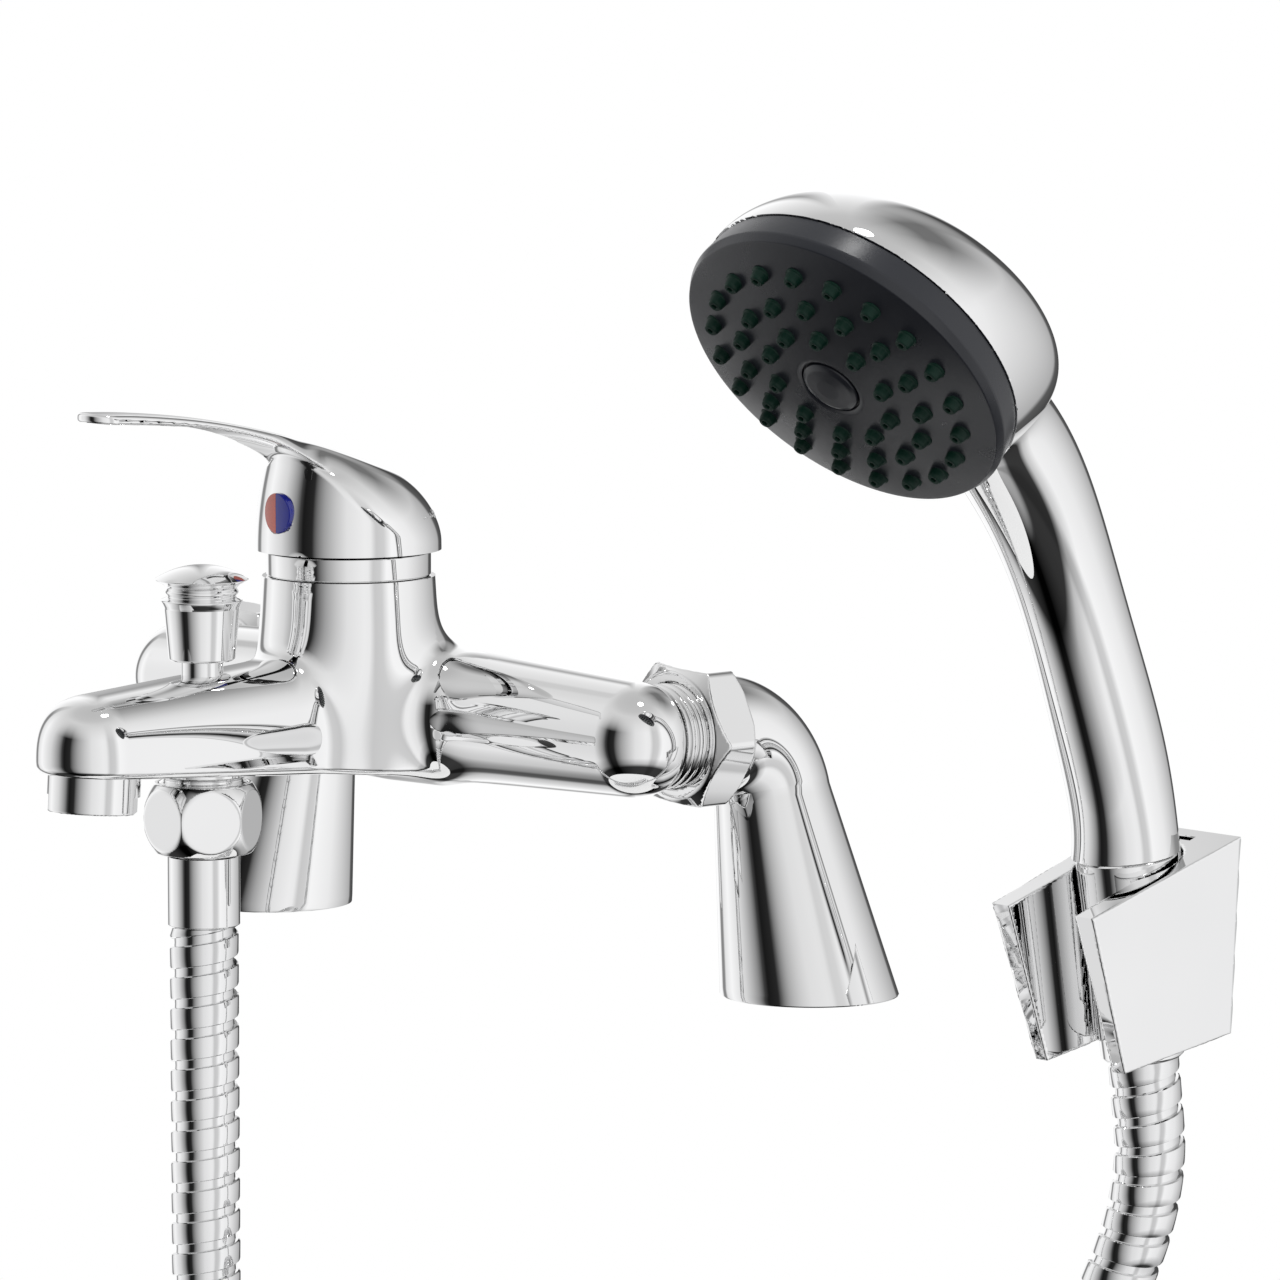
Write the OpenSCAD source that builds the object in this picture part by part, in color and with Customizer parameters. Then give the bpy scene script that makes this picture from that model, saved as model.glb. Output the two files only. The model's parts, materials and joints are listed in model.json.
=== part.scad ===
// Deck mounted bath shower mixer: lever column, pull diverter, hose, handset and wall bracket.
// Millimetres, +Z up, front towards -Y, origin midway between the two deck holes.

/* [Deck and unions] */
// Distance between the two deck holes
deck_centres = 180; // [174:1:188]
// Distance between the two union centres
union_centres = 150; // [144:1:156]
// Height of the arm axis above the deck
arm_z = 56.5; // [54:0.5:58]
// Arm axis from the line of deck holes, negative to the front
arm_y = -36; // [-38:0.5:-34]
// Arm radius at the column
arm_root_r = 14.9; // [14:0.1:16]
// Radius of the ball at the end of the arm
ball_r = 12.3; // [12:0.1:13]
// Radius of the threaded union neck
neck_r = 11.3; // [11:0.1:11.6]
// Union nut across flats
nut_af = 29; // [28:0.5:31]
// Union nut length
nut_len = 10.5; // [10:0.5:12]

/* [Pillars] */
// Tube radius of the elbow
elbow_r = 12.6; // [12:0.1:13.4]
// Bend radius of the elbow
bend_r = 14.8; // [14:0.1:16]
// Radius of the pillar's foot
foot_r = 18.9; // [18:0.1:20]
// Waterway radius in the pillar
pillar_bore_r = 6.5; // [5:0.1:7.5]
// Radius of the tail socket in the foot
tail_r = 13.2; // [12:0.1:14]
// Depth of the tail socket
tail_depth = 12; // [10:0.5:15]

/* [Column] */
// Column axis from the line of deck holes
col_y = -52; // [-54:0.5:-50]
// Height of the column's top seam
col_top_z = 86.7; // [85.5:0.1:88]
// Column radius at the top seam
col_top_r = 18.8; // [18.2:0.1:19.5]
// Column radius where it starts to flare
col_low_r = 20; // [19.6:0.1:21]
// Underside of the body below the column
body_floor_z = 43.8; // [42:0.1:45]
// Cartridge radius
cart_r = 15; // [14:0.1:15.4]
// Radius of the collar that covers the cartridge
collar_r = 17.9; // [17.4:0.1:18]

/* [Spout] */
// Distance of the outlet axis from the column axis
spout_reach = 70.6; // [66:0.1:76]
// Spout width at its round tip
spout_tip_w = 25; // [24:0.5:28]
// Spout width at the column
spout_root_w = 31; // [29:0.5:34]
// Height of the spout's top above the outlet
spout_top_tip_z = 66.4; // [66:0.1:68]
// Height of the spout's top at the column
spout_top_root_z = 71.7; // [70:0.1:74]
// Height of the spout's underside at the outlet
spout_under_tip_z = 49.3; // [48:0.1:50]
// Outside radius of the aerator housing
aerator_r = 10; // [9.6:0.1:11]
// Visible height of the aerator housing
aerator_h = 7.8; // [6:0.1:9]

/* [Lever] */
// Outside radius of the handle's skirt
skirt_r = 20.2; // [19.8:0.1:21]
// Distance from the column's seam up to the skirt
skirt_gap = 5.7; // [5.4:0.1:6.5]
// Distance from the column axis to the lever's tip
lever_reach = 72.8; // [66:0.5:80]
// Height of the lever's tip above the skirt's lower edge
lever_rise = 33.9; // [31:0.1:36]
// Half width of the lever at its tip
lever_tip_w = 5; // [4:0.1:7]
// Radius of the red and blue indicator
indicator_r = 4.4; // [3.8:0.1:4.8]

/* [Diverter] */
// Distance of the diverter axis from the column axis
diverter_reach = 41; // [39:0.5:43]
// Radius of the gland that guides the diverter's rod
gland_r = 4.5; // [4:0.1:4.8]
// Radius of the diverter's rod
rod_r = 2.5; // [2:0.1:2.8]
// How far the knob lifts
diverter_travel = 6; // [4.5:0.1:6.2]
// Radius of the knob's mushroom cap
knob_cap_r = 9.7; // [9:0.1:11]
// Height of the top of the knob
knob_top_z = 92.2; // [90:0.1:95]

/* [Hose] */
// Outside radius of the hose over its ribs
hose_r = 7.5; // [7:0.1:7.7]
// Radius of the hose's bore
hose_bore_r = 4.5; // [3.5:0.1:5]
// Height where the hose leaves the mixer's ferrule
hose_start_z = 14; // [12:0.5:16]
// Height of the coil's centre, below the deck
coil_z = -150; // [-160:1:-145]
// Radius of the coil at the middle of its turns
coil_r = 75; // [72:0.5:80]
// Distance between two turns of the coil
coil_pitch = 16.5; // [16.2:0.1:20]
// Hose nut across flats
hose_nut_af = 22.4; // [22:0.1:24]
// Radius of the tie's strap beyond the hose
tie_t = 1.6; // [1.2:0.1:2.5]

/* [Handset] */
// Handset mid-plane from the middle of the mixer
hand_x = 160.3; // [158:0.1:166]
// Handle's lower end, from the line of deck holes
grip_y = 25.5; // [24.5:0.1:26.5]
// Height of the handle's lower end
grip_z = 35.5; // [34.5:0.1:37]
// Lean of the socket axis from upright
grip_tilt = 7.2; // [6:0.1:8]
// Handle radius at its lower end
grip_r = 11.45; // [11.1:0.05:11.8]
// Length of the conical nut
cone_len = 44; // [42:0.5:46]
// Radius of the conical nut at its lower end
cone_end_r = 8.8; // [8.4:0.1:9.2]
// Head radius over the face's dark band
head_r = 36.6; // [36.4:0.1:38]
// Depth of the domed back of the head
head_dome = 24.5; // [23:0.1:26]
// Lean of the domed back towards the handle
head_lean = 10.3; // [8:0.1:11]
// Angle of the shower face below level
face_angle = 40.2; // [36:0.1:44]
// Turn of the handset in its holder
hand_turn = 4.8; // [0:0.1:10]
// Radius of the face's front edge
face_r = 35; // [34.4:0.1:35.6]

/* [Bracket] */
// Distance of the wall behind the deck holes
wall_y = 43; // [42.5:0.1:46]
// Bracket half width low at the front
cheek_base = 13.5; // [13.2:0.1:15]
// Half width of the front slot
slot_w = 9.6; // [9:0.1:10.2]
// Distance between the two wall screws
screw_pitch = 22; // [18:0.5:24]
// Radius of the wall screw holes
screw_r = 2.2; // [1.8:0.1:2.5]

/* [Hidden] */
$fn = 96;
// Clearances: slip fit inside one body, running fit, open gap between moving pieces
slip = 0.05;
run_fit = 0.06;
gap = 0.3;
cut = 1;
union_x = union_centres / 2;
lean = atan((deck_centres - union_centres) / 2 / arm_z);

// Union stack along Y, from the elbow to the front
nut_lip = 1.8;
nut_turned_r = nut_af / 2 * 1.14;
nut_turn = 4;
flange_t = 1.5;
washer_t = 1.5;
nut_rear_y = -bend_r - 0.4;
nut_front_y = nut_rear_y - nut_len;
flange_rear_y = nut_rear_y - nut_lip;
flange_front_y = flange_rear_y - flange_t;
neck_end_y = flange_front_y - washer_t;
spigot_r = neck_r - 1.8;
union_bore_r = 6.5;
base_seal_r = foot_r - 1.6;
base_seal_t = 1.6;

// Cartridge stack up the column
bore_r = cart_r + 2 * slip;
cart_floor_z = col_top_z - 26.7;
cart_seal_t = 1.5;
cart_base_z = cart_floor_z + cart_seal_t;
cart_base_t = 4.5;
fixed_disc_z = cart_base_z + cart_base_t;
disc_t = 3;
moving_disc_z = fixed_disc_z + disc_t + slip;
moving_disc_t = 2;
driver_z = moving_disc_z + moving_disc_t;
driver_t = 3.2;
cavity_r = cart_r - 2;
flange_z = driver_z + driver_t + gap;
turn_flange_t = 3;
cavity_top_z = flange_z + turn_flange_t + gap;
shoulder_z = cavity_top_z + 2;
cart_neck_r = 11;
turn_r = 8;
cart_nut_t = 5;
collar_top_z = col_top_z + 6.5;
neck_top_z = col_top_z + 5.3;
turn_top_z = neck_top_z + 0.6;
skirt_z = col_top_z + skirt_gap;
pivot_z = skirt_z - 5.4;
pin_r = 1.5;
slot_half_x = 4.1;
slot_half_y = 6.7;
spindle_x = slot_half_x - gap;
spindle_y = 3.5;
spindle_low_z = pivot_z - 5;
spindle_top_z = skirt_z + 11.6;
finger_r = 2.2;
ball_z = driver_z + finger_r + gap;
disc_rest = 1.87;
moving_disc_r = 10.4;
relief_y = 1.5;
relief_h = 1.2;
driver_r = 9;
port_x = 4.2;
port_y = 7.05;
port_r = 2.3;
mix_y = -8;
mix_r = 4;
arm_bore_r = 5;
arm_bore_z = cart_floor_z - arm_bore_r - 0.8;
cross_way_r = 2.6;
cross_way_z = arm_bore_z + 0.4;

// Handle
skirt_wall = 1.9;
boss_r = 7.5;
boss_z = skirt_z + 3.1;
indicator_z = skirt_z + 9;
lever_sy = (lever_reach - skirt_r) / 52.6;
lever_sz = lever_rise / 33.9;
// Side outline of the handle, as offsets from the column axis and the skirt's lower edge
lever_top = [[-123.2, 33.9], [-118, 33.5], [-107.6, 32.7], [-96, 31.2], [-84.2, 29], [-72.2, 26.2]];
lever_under = [[-124.8, 33.1], [-123.2, 32.1], [-107.6, 30.6], [-97.7, 28.9], [-89.3, 26.9],
               [-82.6, 24.7], [-77.5, 22.6], [-74.6, 20.6], [-72.9, 17.8], [-72.2, 14]];
function lever_y(y) = -skirt_r + (y + 72.2) * lever_sy;
handle_side = concat(
    [[skirt_r, 0], [skirt_r, 6.2], [skirt_r - 0.8, 9.2], [skirt_r - 2.6, 12.2]],
    [[13.2, 15.8 * lever_sz], [3.6, 19.3 * lever_sz], [-7.6, 22.7 * lever_sz]],
    [for (i = [len(lever_top) - 1:-1:0]) [lever_y(lever_top[i][0]), lever_top[i][1] * lever_sz]],
    [for (p = lever_under) [lever_y(p[0]), p[1] * lever_sz]],
    [[-skirt_r, 0]]);

// Spout: straight tapers with a round tip about the outlet axis
outlet_y = col_y - spout_reach;
tip_r = spout_tip_w / 2;
spout_root_y = col_y + 6;
function along(y) = (y - outlet_y) / (col_y - outlet_y);
function round_off(y, start, r) = y >= start ? 1 : sqrt(max(0, 1 - pow((start - y) / r, 2)));
function under_z(y) = spout_under_tip_z + (body_floor_z + 1 - spout_under_tip_z) * along(y);
function top_line_z(y) = spout_top_tip_z + (spout_top_root_z - spout_top_tip_z) * along(y);
function top_z(y) = under_z(y) + 3
    + (top_line_z(y) - under_z(y) - 3) * round_off(y, outlet_y + 6, tip_r + 6.2);
function half_w(y) = (tip_r + (spout_root_w / 2 - tip_r) * along(y)) * round_off(y, outlet_y, tip_r);
under_slope = atan((spout_under_tip_z - body_floor_z - 1) / spout_reach);
spout_ys = concat([for (i = [0:4]) spout_root_y + (outlet_y + 6 - spout_root_y) * i / 4],
                  [outlet_y + 3], [for (a = [0, 20, 38, 54, 66, 76, 83.5, 87.5]) outlet_y - tip_r * sin(a)]);
spout_n = 24;
spout_top_pow = 2.7;
spout_low_pow = 7;
function sgn_pow(v, p) = v < 0 ? -pow(-v, p) : pow(v, p);
function spout_ring(y) = let (w = half_w(y), zb = under_z(y), zt = top_z(y), zc = zb + 0.32 * (zt - zb))
    [for (i = [0:spout_n - 1]) let (a = 360 * i / spout_n,
        p = 2 / (sin(a) > 0 ? spout_top_pow : spout_low_pow),
         h = sin(a) > 0 ? zt - zc : zc - zb)
        [w * sgn_pow(cos(a), p), y, zc + h * sgn_pow(sin(a), p)]];

// Diverter stack: outlet nipple, piston between two seats, stem and knob
div_y = col_y - diverter_reach;
chamber_r = 9.3;
nipple_low_z = hose_start_z + 20.5;
nipple_face_z = under_z(div_y) + 1.2;
seat_z = nipple_face_z + 0.4;
seal_t = 1.2;
piston_t = 1.5;
piston_z = seat_z + gap + seal_t;
piston_top_z = piston_z + piston_t + seal_t;
upper_seat_z = piston_top_z + diverter_travel + gap;
upper_seat_t = 1.5;
chamber_step_z = upper_seat_z + upper_seat_t;
chamber_top_z = top_line_z(div_y) - 3.6;
upper_chamber_r = 7.8;
piston_r = 7.6;
cup_z = seat_z + 3.4;
rear_way_z = cup_z + 3.4;
rear_way_r = 3;
front_way_r = 1.8;
front_way_x = 3.6;
front_way_z = chamber_step_z + front_way_r + 0.3;
knob_low_z = knob_top_z - 20.8;
rod_top_z = knob_low_z + 8.6;
gland_top_z = knob_low_z - gap;

// Aerator, square to the sloping underside
aerator_thread_r = aerator_r - 1.4;
aerator_thread_h = 4.8;
aerator_bore_r = aerator_thread_r - 1.2;
aerator_sink = 0.5;

// Hose end at the mixer
ferrule_r = hose_r + 0.35;
ferrule_top_z = hose_start_z + 16;
hose_nut_lip = 1.5;
hose_flange_t = 1.5;
outlet_thread_r = 9.5;
hose_nut_top_z = nipple_face_z - 3.4;
hose_nut_r = hose_nut_af / 2 * 1.125;
ferrule_neck_r = 6.7;

// Hose line: straight tail, coil hung in an upright plane, S-bend up to the handset
tail_pt = [0, div_y];
coil_turns = 2.5;
hose_sides = 8;
rib_depth = 0.6;
left_ribs = 22;
coil_ribs = 156;
right_ribs = 19;
axis_dn = [0, sin(grip_tilt), -cos(grip_tilt)];
grip_pt = [hand_x, grip_y, grip_z];
hose_end = grip_pt + cone_len * axis_dn;
straight_len = 2 * hose_r;
bend_end = hose_end + straight_len * axis_dn;
reach_v = [bend_end[0] - tail_pt[0], bend_end[1] - tail_pt[1]];
coil_dir = atan2(reach_v[1], reach_v[0]) - atan2(coil_turns * coil_pitch, 2 * coil_r);
coil_u = [cos(coil_dir), sin(coil_dir), 0];
coil_n = [-sin(coil_dir), cos(coil_dir), 0];
coil_c = [tail_pt[0], tail_pt[1], coil_z] + coil_r * coil_u;
function coil_pt(a) = coil_c - coil_r * cos(a) * coil_u - [0, 0, coil_r * sin(a)]
    + coil_n * coil_pitch * a / 360;
coil_end = coil_pt(360 * coil_turns);
s_span = norm(bend_end - coil_end);
function s_pt(t) = coil_end * (2 * pow(t, 3) - 3 * pow(t, 2) + 1) + bend_end * (3 * pow(t, 2) - 2 * pow(t, 3))
    + [0, 0, s_span] * (pow(t, 3) - 2 * pow(t, 2) + t) - axis_dn * s_span * (pow(t, 3) - pow(t, 2));
function right_pt(t) = let (k = straight_len / (s_span + straight_len))
    t >= 1 - k ? bend_end + (hose_end - bend_end) * (t - 1 + k) / k : s_pt(t / (1 - k));
function unit(v) = v / norm(v);
function tube_ring(c, d, r) = let (t = unit(d), a = unit(coil_n - t * (coil_n * t)), b = cross(t, a))
    [for (i = [0:hose_sides - 1]) let (w = 360 * (i + 0.5) / hose_sides) c + r * cos(w) * a + r * sin(w) * b];
function rib_r(i) = i % 2 == 0 ? hose_r - rib_depth : hose_r;
down = [0, 0, -1];
left_rings = [for (i = [0:2 * left_ribs]) tube_ring([tail_pt[0], tail_pt[1], hose_start_z
    + (coil_z - hose_start_z) * i / (2 * left_ribs)], down, rib_r(i))];
left_bore = [for (z = [hose_start_z, coil_z]) tube_ring([tail_pt[0], tail_pt[1], z], down, hose_bore_r)];
function coil_dir_at(a) = a <= 0 ? down : a >= 360 * coil_turns ? -down : coil_pt(a + 0.5) - coil_pt(a - 0.5);
coil_rings = [for (i = [0:2 * coil_ribs]) let (a = 360 * coil_turns * i / (2 * coil_ribs))
    tube_ring(coil_pt(a), coil_dir_at(a), rib_r(i))];
coil_bore_n = 60;
coil_bore = [for (i = [0:coil_bore_n]) let (a = 360 * coil_turns * i / coil_bore_n)
    tube_ring(coil_pt(a), coil_dir_at(a), hose_bore_r)];
function right_dir_at(t) = t <= 0 ? -down : t >= 1 ? -axis_dn : right_pt(t + 0.004) - right_pt(t - 0.004);
right_rings = [for (i = [0:2 * right_ribs]) let (t = i / (2 * right_ribs))
    tube_ring(right_pt(t), right_dir_at(t), rib_r(i))];
right_bore_n = 16;
right_bore = [for (i = [0:right_bore_n]) let (t = i / right_bore_n)
    tube_ring(right_pt(t), right_dir_at(t), hose_bore_r)];

// Length of the hose and the least gap between its stretches, measured on its points
hose_line = concat([for (i = [0:10]) [tail_pt[0], tail_pt[1],
    hose_start_z + (coil_z - hose_start_z) * i / 10]],
                   [for (i = [1:100]) coil_pt(360 * coil_turns * i / 100)],
                   [for (i = [1:12]) right_pt(i / 12)]);
hose_len = [for (i = 0, s = 0; i < len(hose_line) - 1; s = s + norm(hose_line[i + 1] - hose_line[i]),
    i = i + 1) s];
far_pairs = [for (i = [0:len(hose_line) - 1]) for (j = [i + 12:1:len(hose_line) - 1])
    norm(hose_line[i] - hose_line[j])];
hose_last = len(hose_line) - 1;
echo(hose_length = hose_len[len(hose_len) - 1] + norm(hose_line[hose_last] - hose_line[hose_last - 1]));
echo(hose_least_gap = min(far_pairs) - 2 * hose_r);

// Handset head, in its own axes about the face's centre
face_out = 90.35;
face_up = 105.06;
face_pt = [hand_x, grip_y - face_out, grip_z + face_up];
head_turn = face_angle - 90;
face_edge_z = 2.15;
band_z = 4.2;
bezel_z = 9.9;
bezel_r = head_r - 0.8;
rim_r = head_r - 0.4;
ball_c = 131.5;
face_ball = sqrt(pow(ball_c - face_edge_z, 2) + face_r * face_r);
face_t = 2.2;
mat_t = 1.2;
spigot_out_r = head_r - 2.6;
spigot_in_r = head_r - 4.8;
mat_r = spigot_in_r - 0.6;
spigot_z = bezel_z + 2.2;
face_seal_t = 1.2;
ledge_z = spigot_z + face_seal_t;
post_r = 4.5;
post_z = 4.6;
cap_r = 6.4;
cap_floor_z = ball_c - face_ball + 1.1;
head_floor_z = cap_floor_z + 1.9;
rings = [[28.44, 20, 10.1], [21, 15, 19.2], [13.87, 10, 1.1]];
nozzle_r = 1.75;
nozzle_tip_r = 1.25;
nozzle_out = 2;
jet_r = 0.45;
function face_z(r) = ball_c - sqrt(face_ball * face_ball - r * r);
// The shell's back: round sections that draw in and lean towards the handle, by share of the depth
head_sides = 60;
shell_wall = 3;
back_steps = [0, 0.22, 0.42, 0.6, 0.74, 0.84, 0.91, 0.955, 0.982, 0.995];
function back_ring(z, r) = [for (k = [0:head_sides - 1]) let (w = 360 * (k + 0.5) / head_sides)
    [r * cos(w), head_lean * pow(max(z - bezel_z, 0) / head_dome, 1.5) + r * sin(w), z]];
function drawn_in(r, t) = r * pow(1 - t * t, 0.15);
room_t = (ledge_z - bezel_z) / (head_dome - shell_wall);

// Handle spine as [Y, Z, radius], offsets from the handle's lower end
spine = [[0, 0, grip_r], [-2.98, 16.5, grip_r - 0.25], [-8.47, 33.06, grip_r - 0.45],
    [-12.82, 44.6, grip_r - 0.45],
         [-18.47, 56.94, grip_r - 0.4], [-26.7, 72.5, grip_r + 0.1], [-34.52, 85.36, grip_r + 1.3],
         [-43.68, 94.32, grip_r + 1.1], [-53.94, 101.9, grip_r], [-65.81, 110, grip_r - 1.5]];
channel_r = 4.5;
grip_sides = 28;
function spine_at(i) = spine[min(max(i, 0), len(spine) - 1)];
function spine_dir(i) = i == 0 ? [-axis_dn[1], -axis_dn[2]]
    : unit([spine_at(i + 1)[0] - spine_at(i - 1)[0], spine_at(i + 1)[1] - spine_at(i - 1)[1]]);
function mix_pt(i, t) = let (a = spine_at(i - 1), b = spine_at(i), c = spine_at(i + 1), d = spine_at(i + 2))
    0.5 * (2 * b + (c - a) * t + (2 * a - 5 * b + 4 * c - d) * t * t + (3 * b - a - 3 * c + d) * t * t * t);
grip_steps = 3;
grip_line = concat([for (i = [0:len(spine) - 2]) for (k = [0:grip_steps - 1]) mix_pt(i, k / grip_steps)],
                   [spine[len(spine) - 1]]);
function grip_dir(i) = i == 0 ? spine_dir(0) : let (a = grip_line[i - 1],
    b = grip_line[min(i + 1, len(grip_line) - 1)])
    unit([b[0] - a[0], b[1] - a[1]]);
function grip_ring(i) = let (p = grip_line[i], d = grip_dir(i))
    [for (k = [0:grip_sides - 1]) let (w = 360 * k / grip_sides)
        grip_pt + [p[2] * cos(w), p[0] + p[2] * sin(w) * d[1], p[1] - p[2] * sin(w) * d[0]]];
nipple_r = 9;
nipple_len = 14;
cone_top_r = grip_r - 0.55;
cone_washer_t = 1.6;

// Bracket: side outline as [Y, Z], cheeks lean outwards to the back and the top
bracket_side = [[0.7, 25.7], [wall_y, 39], [wall_y, -3], [12.2, -8.3]];
cheek_yaw = -1.15;
cheek_lean = 3.15;
socket_gap = gap;
step_s = 14;
step_out = 0.7;
flute_r = 1.8;
flute_angles = [62, 90, 118, 150];
screw_mid_z = 15;

// Faces of a tube between rings, of an end cap and of an end between two rings, clockwise from outside
function wall(m, n, o, inside) = [for (i = [0:m - 2]) for (j = [0:n - 1])
    let (a = o + i * n + j, b = o + i * n + (j + 1) % n, c = a + n, d = b + n)
    each inside ? [[a, b, c], [b, d, c]] : [[a, c, b], [b, c, d]]];
function cap(o, n, far) = [for (j = [1:n - 2]) far ? [o, o + j + 1, o + j] : [o, o + j, o + j + 1]];
function rim(o, q, n, far) = [for (j = [0:n - 1]) let (a = o + j, b = o + (j + 1) % n, c = q + j,
    d = q + (j + 1) % n)
    each far ? [[a, c, b], [b, c, d]] : [[a, b, c], [b, d, c]]];

module loft(rings) {
    m = len(rings);
    n = len(rings[0]);
    polyhedron(points = [for (r = rings) each r],
               faces = concat(wall(m, n, 0, false), cap(0, n, false), cap((m - 1) * n, n, true)));
}

module tube(outer, inner) {
    m = len(outer);
    k = len(inner);
    n = hose_sides;
    q = m * n;
    polyhedron(points = [for (r = concat(outer, inner)) each r],
               faces = concat(wall(m, n, 0, false), wall(k, n, q, true),
                              rim(0, q, n, false), rim((m - 1) * n, q + (k - 1) * n, n, true)));
}

module along_x(x0, x1, y, z, r) {
    translate([x0, y, z]) rotate([0, 90, 0]) cylinder(h = x1 - x0, r = r);
}

module along_y(y0, y1, x, z, r) {
    translate([x, y0, z]) rotate([-90, 0, 0]) cylinder(h = y1 - y0, r = r);
}

module ring_y(y0, y1, x, z, r_out, r_in) {
    difference() {
        along_y(y0, y1, x, z, r_out);
        along_y(y0 - cut, y1 + cut, x, z, r_in);
    }
}

module ring_z(z0, z1, r_out, r_in) {
    difference() {
        translate([0, 0, z0]) cylinder(h = z1 - z0, r = r_out);
        translate([0, 0, z0 - cut]) cylinder(h = z1 - z0 + 2 * cut, r = r_in);
    }
}

module disc_z(z0, z1, r) {
    translate([0, 0, z0]) cylinder(h = z1 - z0, r = r);
}

module at_column() {
    translate([0, col_y, 0]) children();
}

module at_diverter() {
    translate([0, div_y, 0]) children();
}

module at_outlet() {
    translate([0, outlet_y, spout_under_tip_z]) rotate([-under_slope, 0, 0]) children();
}

module at_grip() {
    translate(grip_pt) rotate([grip_tilt, 0, 0]) children();
}

module at_turn() {
    translate(grip_pt) rotate([grip_tilt, 0, 0]) rotate([0, 0, hand_turn]) rotate([-grip_tilt, 0, 0])
        translate(-grip_pt) children();
}

module at_head() {
    at_turn() translate(face_pt) rotate([head_turn, 0, 0]) children();
}

module cartridge_ports(z0, z1) {
    for (s = [-1, 1]) translate([s * port_x, port_y, z0]) cylinder(h = z1 - z0, r = port_r);
    translate([0, mix_y, z0]) cylinder(h = z1 - z0, r = mix_r);
}

module body_outside() {
    loft([for (y = spout_ys) spout_ring(y)]);
    at_column() rotate_extrude() polygon([[0, body_floor_z], [col_low_r - 1, body_floor_z],
        [col_low_r + 0.8, body_floor_z + 2.5], [col_low_r + 0.8, body_floor_z + 14],
        [col_low_r, body_floor_z + 22], [col_top_r, col_top_z], [0, col_top_z]]);
    difference() {
        for (s = [-1, 1]) {
            translate([0, arm_y, arm_z]) rotate([0, s * 90, 0])
                cylinder(h = union_x, r1 = arm_root_r, r2 = ball_r);
            translate([s * union_x, arm_y, arm_z]) sphere(r = ball_r + 0.25);
        }
        for (s = [-1, 1]) along_y(nut_front_y - gap, 0, s * union_x, arm_z, nut_turned_r + 1);
    }
    for (s = [-1, 1]) along_y(arm_y, neck_end_y, s * union_x, arm_z, neck_r);
}

module mixer_body() {
    color("Silver") difference() {
        body_outside();
        at_column() disc_z(cart_floor_z, col_top_z + cut, bore_r);
        at_column() cartridge_ports(arm_bore_z, cart_floor_z + cut);
        for (s = [-1, 1]) {
            along_x(min(s * (port_x - 1), s * (union_x + 2)), max(s * (port_x - 1), s * (union_x + 2)),
                    arm_y, arm_bore_z, arm_bore_r);
            along_y(arm_y - 2, neck_end_y + cut, s * union_x, arm_z, union_bore_r);
            along_y(col_y + port_y, arm_y - 2, s * port_x, cross_way_z, cross_way_r);
        }
        along_y(div_y + chamber_r / 2, col_y + mix_y, 0, rear_way_z, rear_way_r);
        at_diverter() disc_z(nipple_face_z - 10, nipple_face_z, outlet_thread_r + 1.6);
        at_diverter() disc_z(nipple_face_z - cut, chamber_step_z, chamber_r);
        at_diverter() disc_z(chamber_step_z - cut, chamber_top_z, upper_chamber_r);
        at_diverter() disc_z(chamber_top_z - cut, top_line_z(div_y) + 8, gland_r + slip);
        for (s = [-1, 1]) along_y(outlet_y, div_y - upper_chamber_r / 2, s * front_way_x, front_way_z,
            front_way_r);
        translate([0, outlet_y, spout_under_tip_z + aerator_thread_h - cut])
            cylinder(h = front_way_z + 1.2 - spout_under_tip_z - aerator_thread_h + cut,
                r = aerator_bore_r - 1);
        at_outlet() disc_z(-6, aerator_sink, aerator_r + 0.4);
        at_outlet() disc_z(-cut, aerator_thread_h + 0.4, aerator_thread_r + slip);
    }
}

module elbow(r) {
    translate([0, -bend_r, -bend_r]) rotate([90, 0, 90])
        rotate_extrude(angle = 90) translate([bend_r, 0]) circle(r = r);
}

module pillar(s) {
    leg_len = arm_z / cos(lean) - bend_r;
    spare = 8;
    color("Silver") difference() {
        union() {
            translate([s * union_x, 0, arm_z]) rotate([0, -s * lean, 0]) {
                elbow(elbow_r);
                translate([0, 0, -bend_r - leg_len - spare]) cylinder(h = leg_len + spare,
                    r1 = foot_r + spare * (foot_r - elbow_r) / leg_len, r2 = elbow_r);
            }
            along_y(flange_rear_y - 1, -bend_r + 2, s * union_x, arm_z, spigot_r);
            along_y(flange_front_y, flange_rear_y, s * union_x, arm_z, neck_r - 0.1);
        }
        translate([s * deck_centres / 2, 0, -40]) cube([120, 120, 80], center = true);
        translate([s * union_x, 0, arm_z]) rotate([0, -s * lean, 0]) {
            elbow(pillar_bore_r);
            translate([0, 0, -bend_r - leg_len - spare]) cylinder(h = leg_len + spare + 1,
                r = pillar_bore_r + 0.4);
        }
        along_y(flange_front_y - cut, -bend_r + 1, s * union_x, arm_z, pillar_bore_r + 0.4);
        translate([s * deck_centres / 2, 0, -cut]) cylinder(h = tail_depth + cut, r = tail_r);
        translate([s * deck_centres / 2, 0, 0]) ring_z(-cut, base_seal_t, base_seal_r, tail_r + 1.6);
    }
}

module left_pillar() pillar(-1);

module right_pillar() pillar(1);

module base_seal(s) {
    color("DimGray") translate([s * deck_centres / 2, 0, 0])
        ring_z(0, base_seal_t, base_seal_r - slip, tail_r + 1.6 + slip);
}

module left_base_seal() base_seal(-1);

module right_base_seal() base_seal(1);

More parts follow.
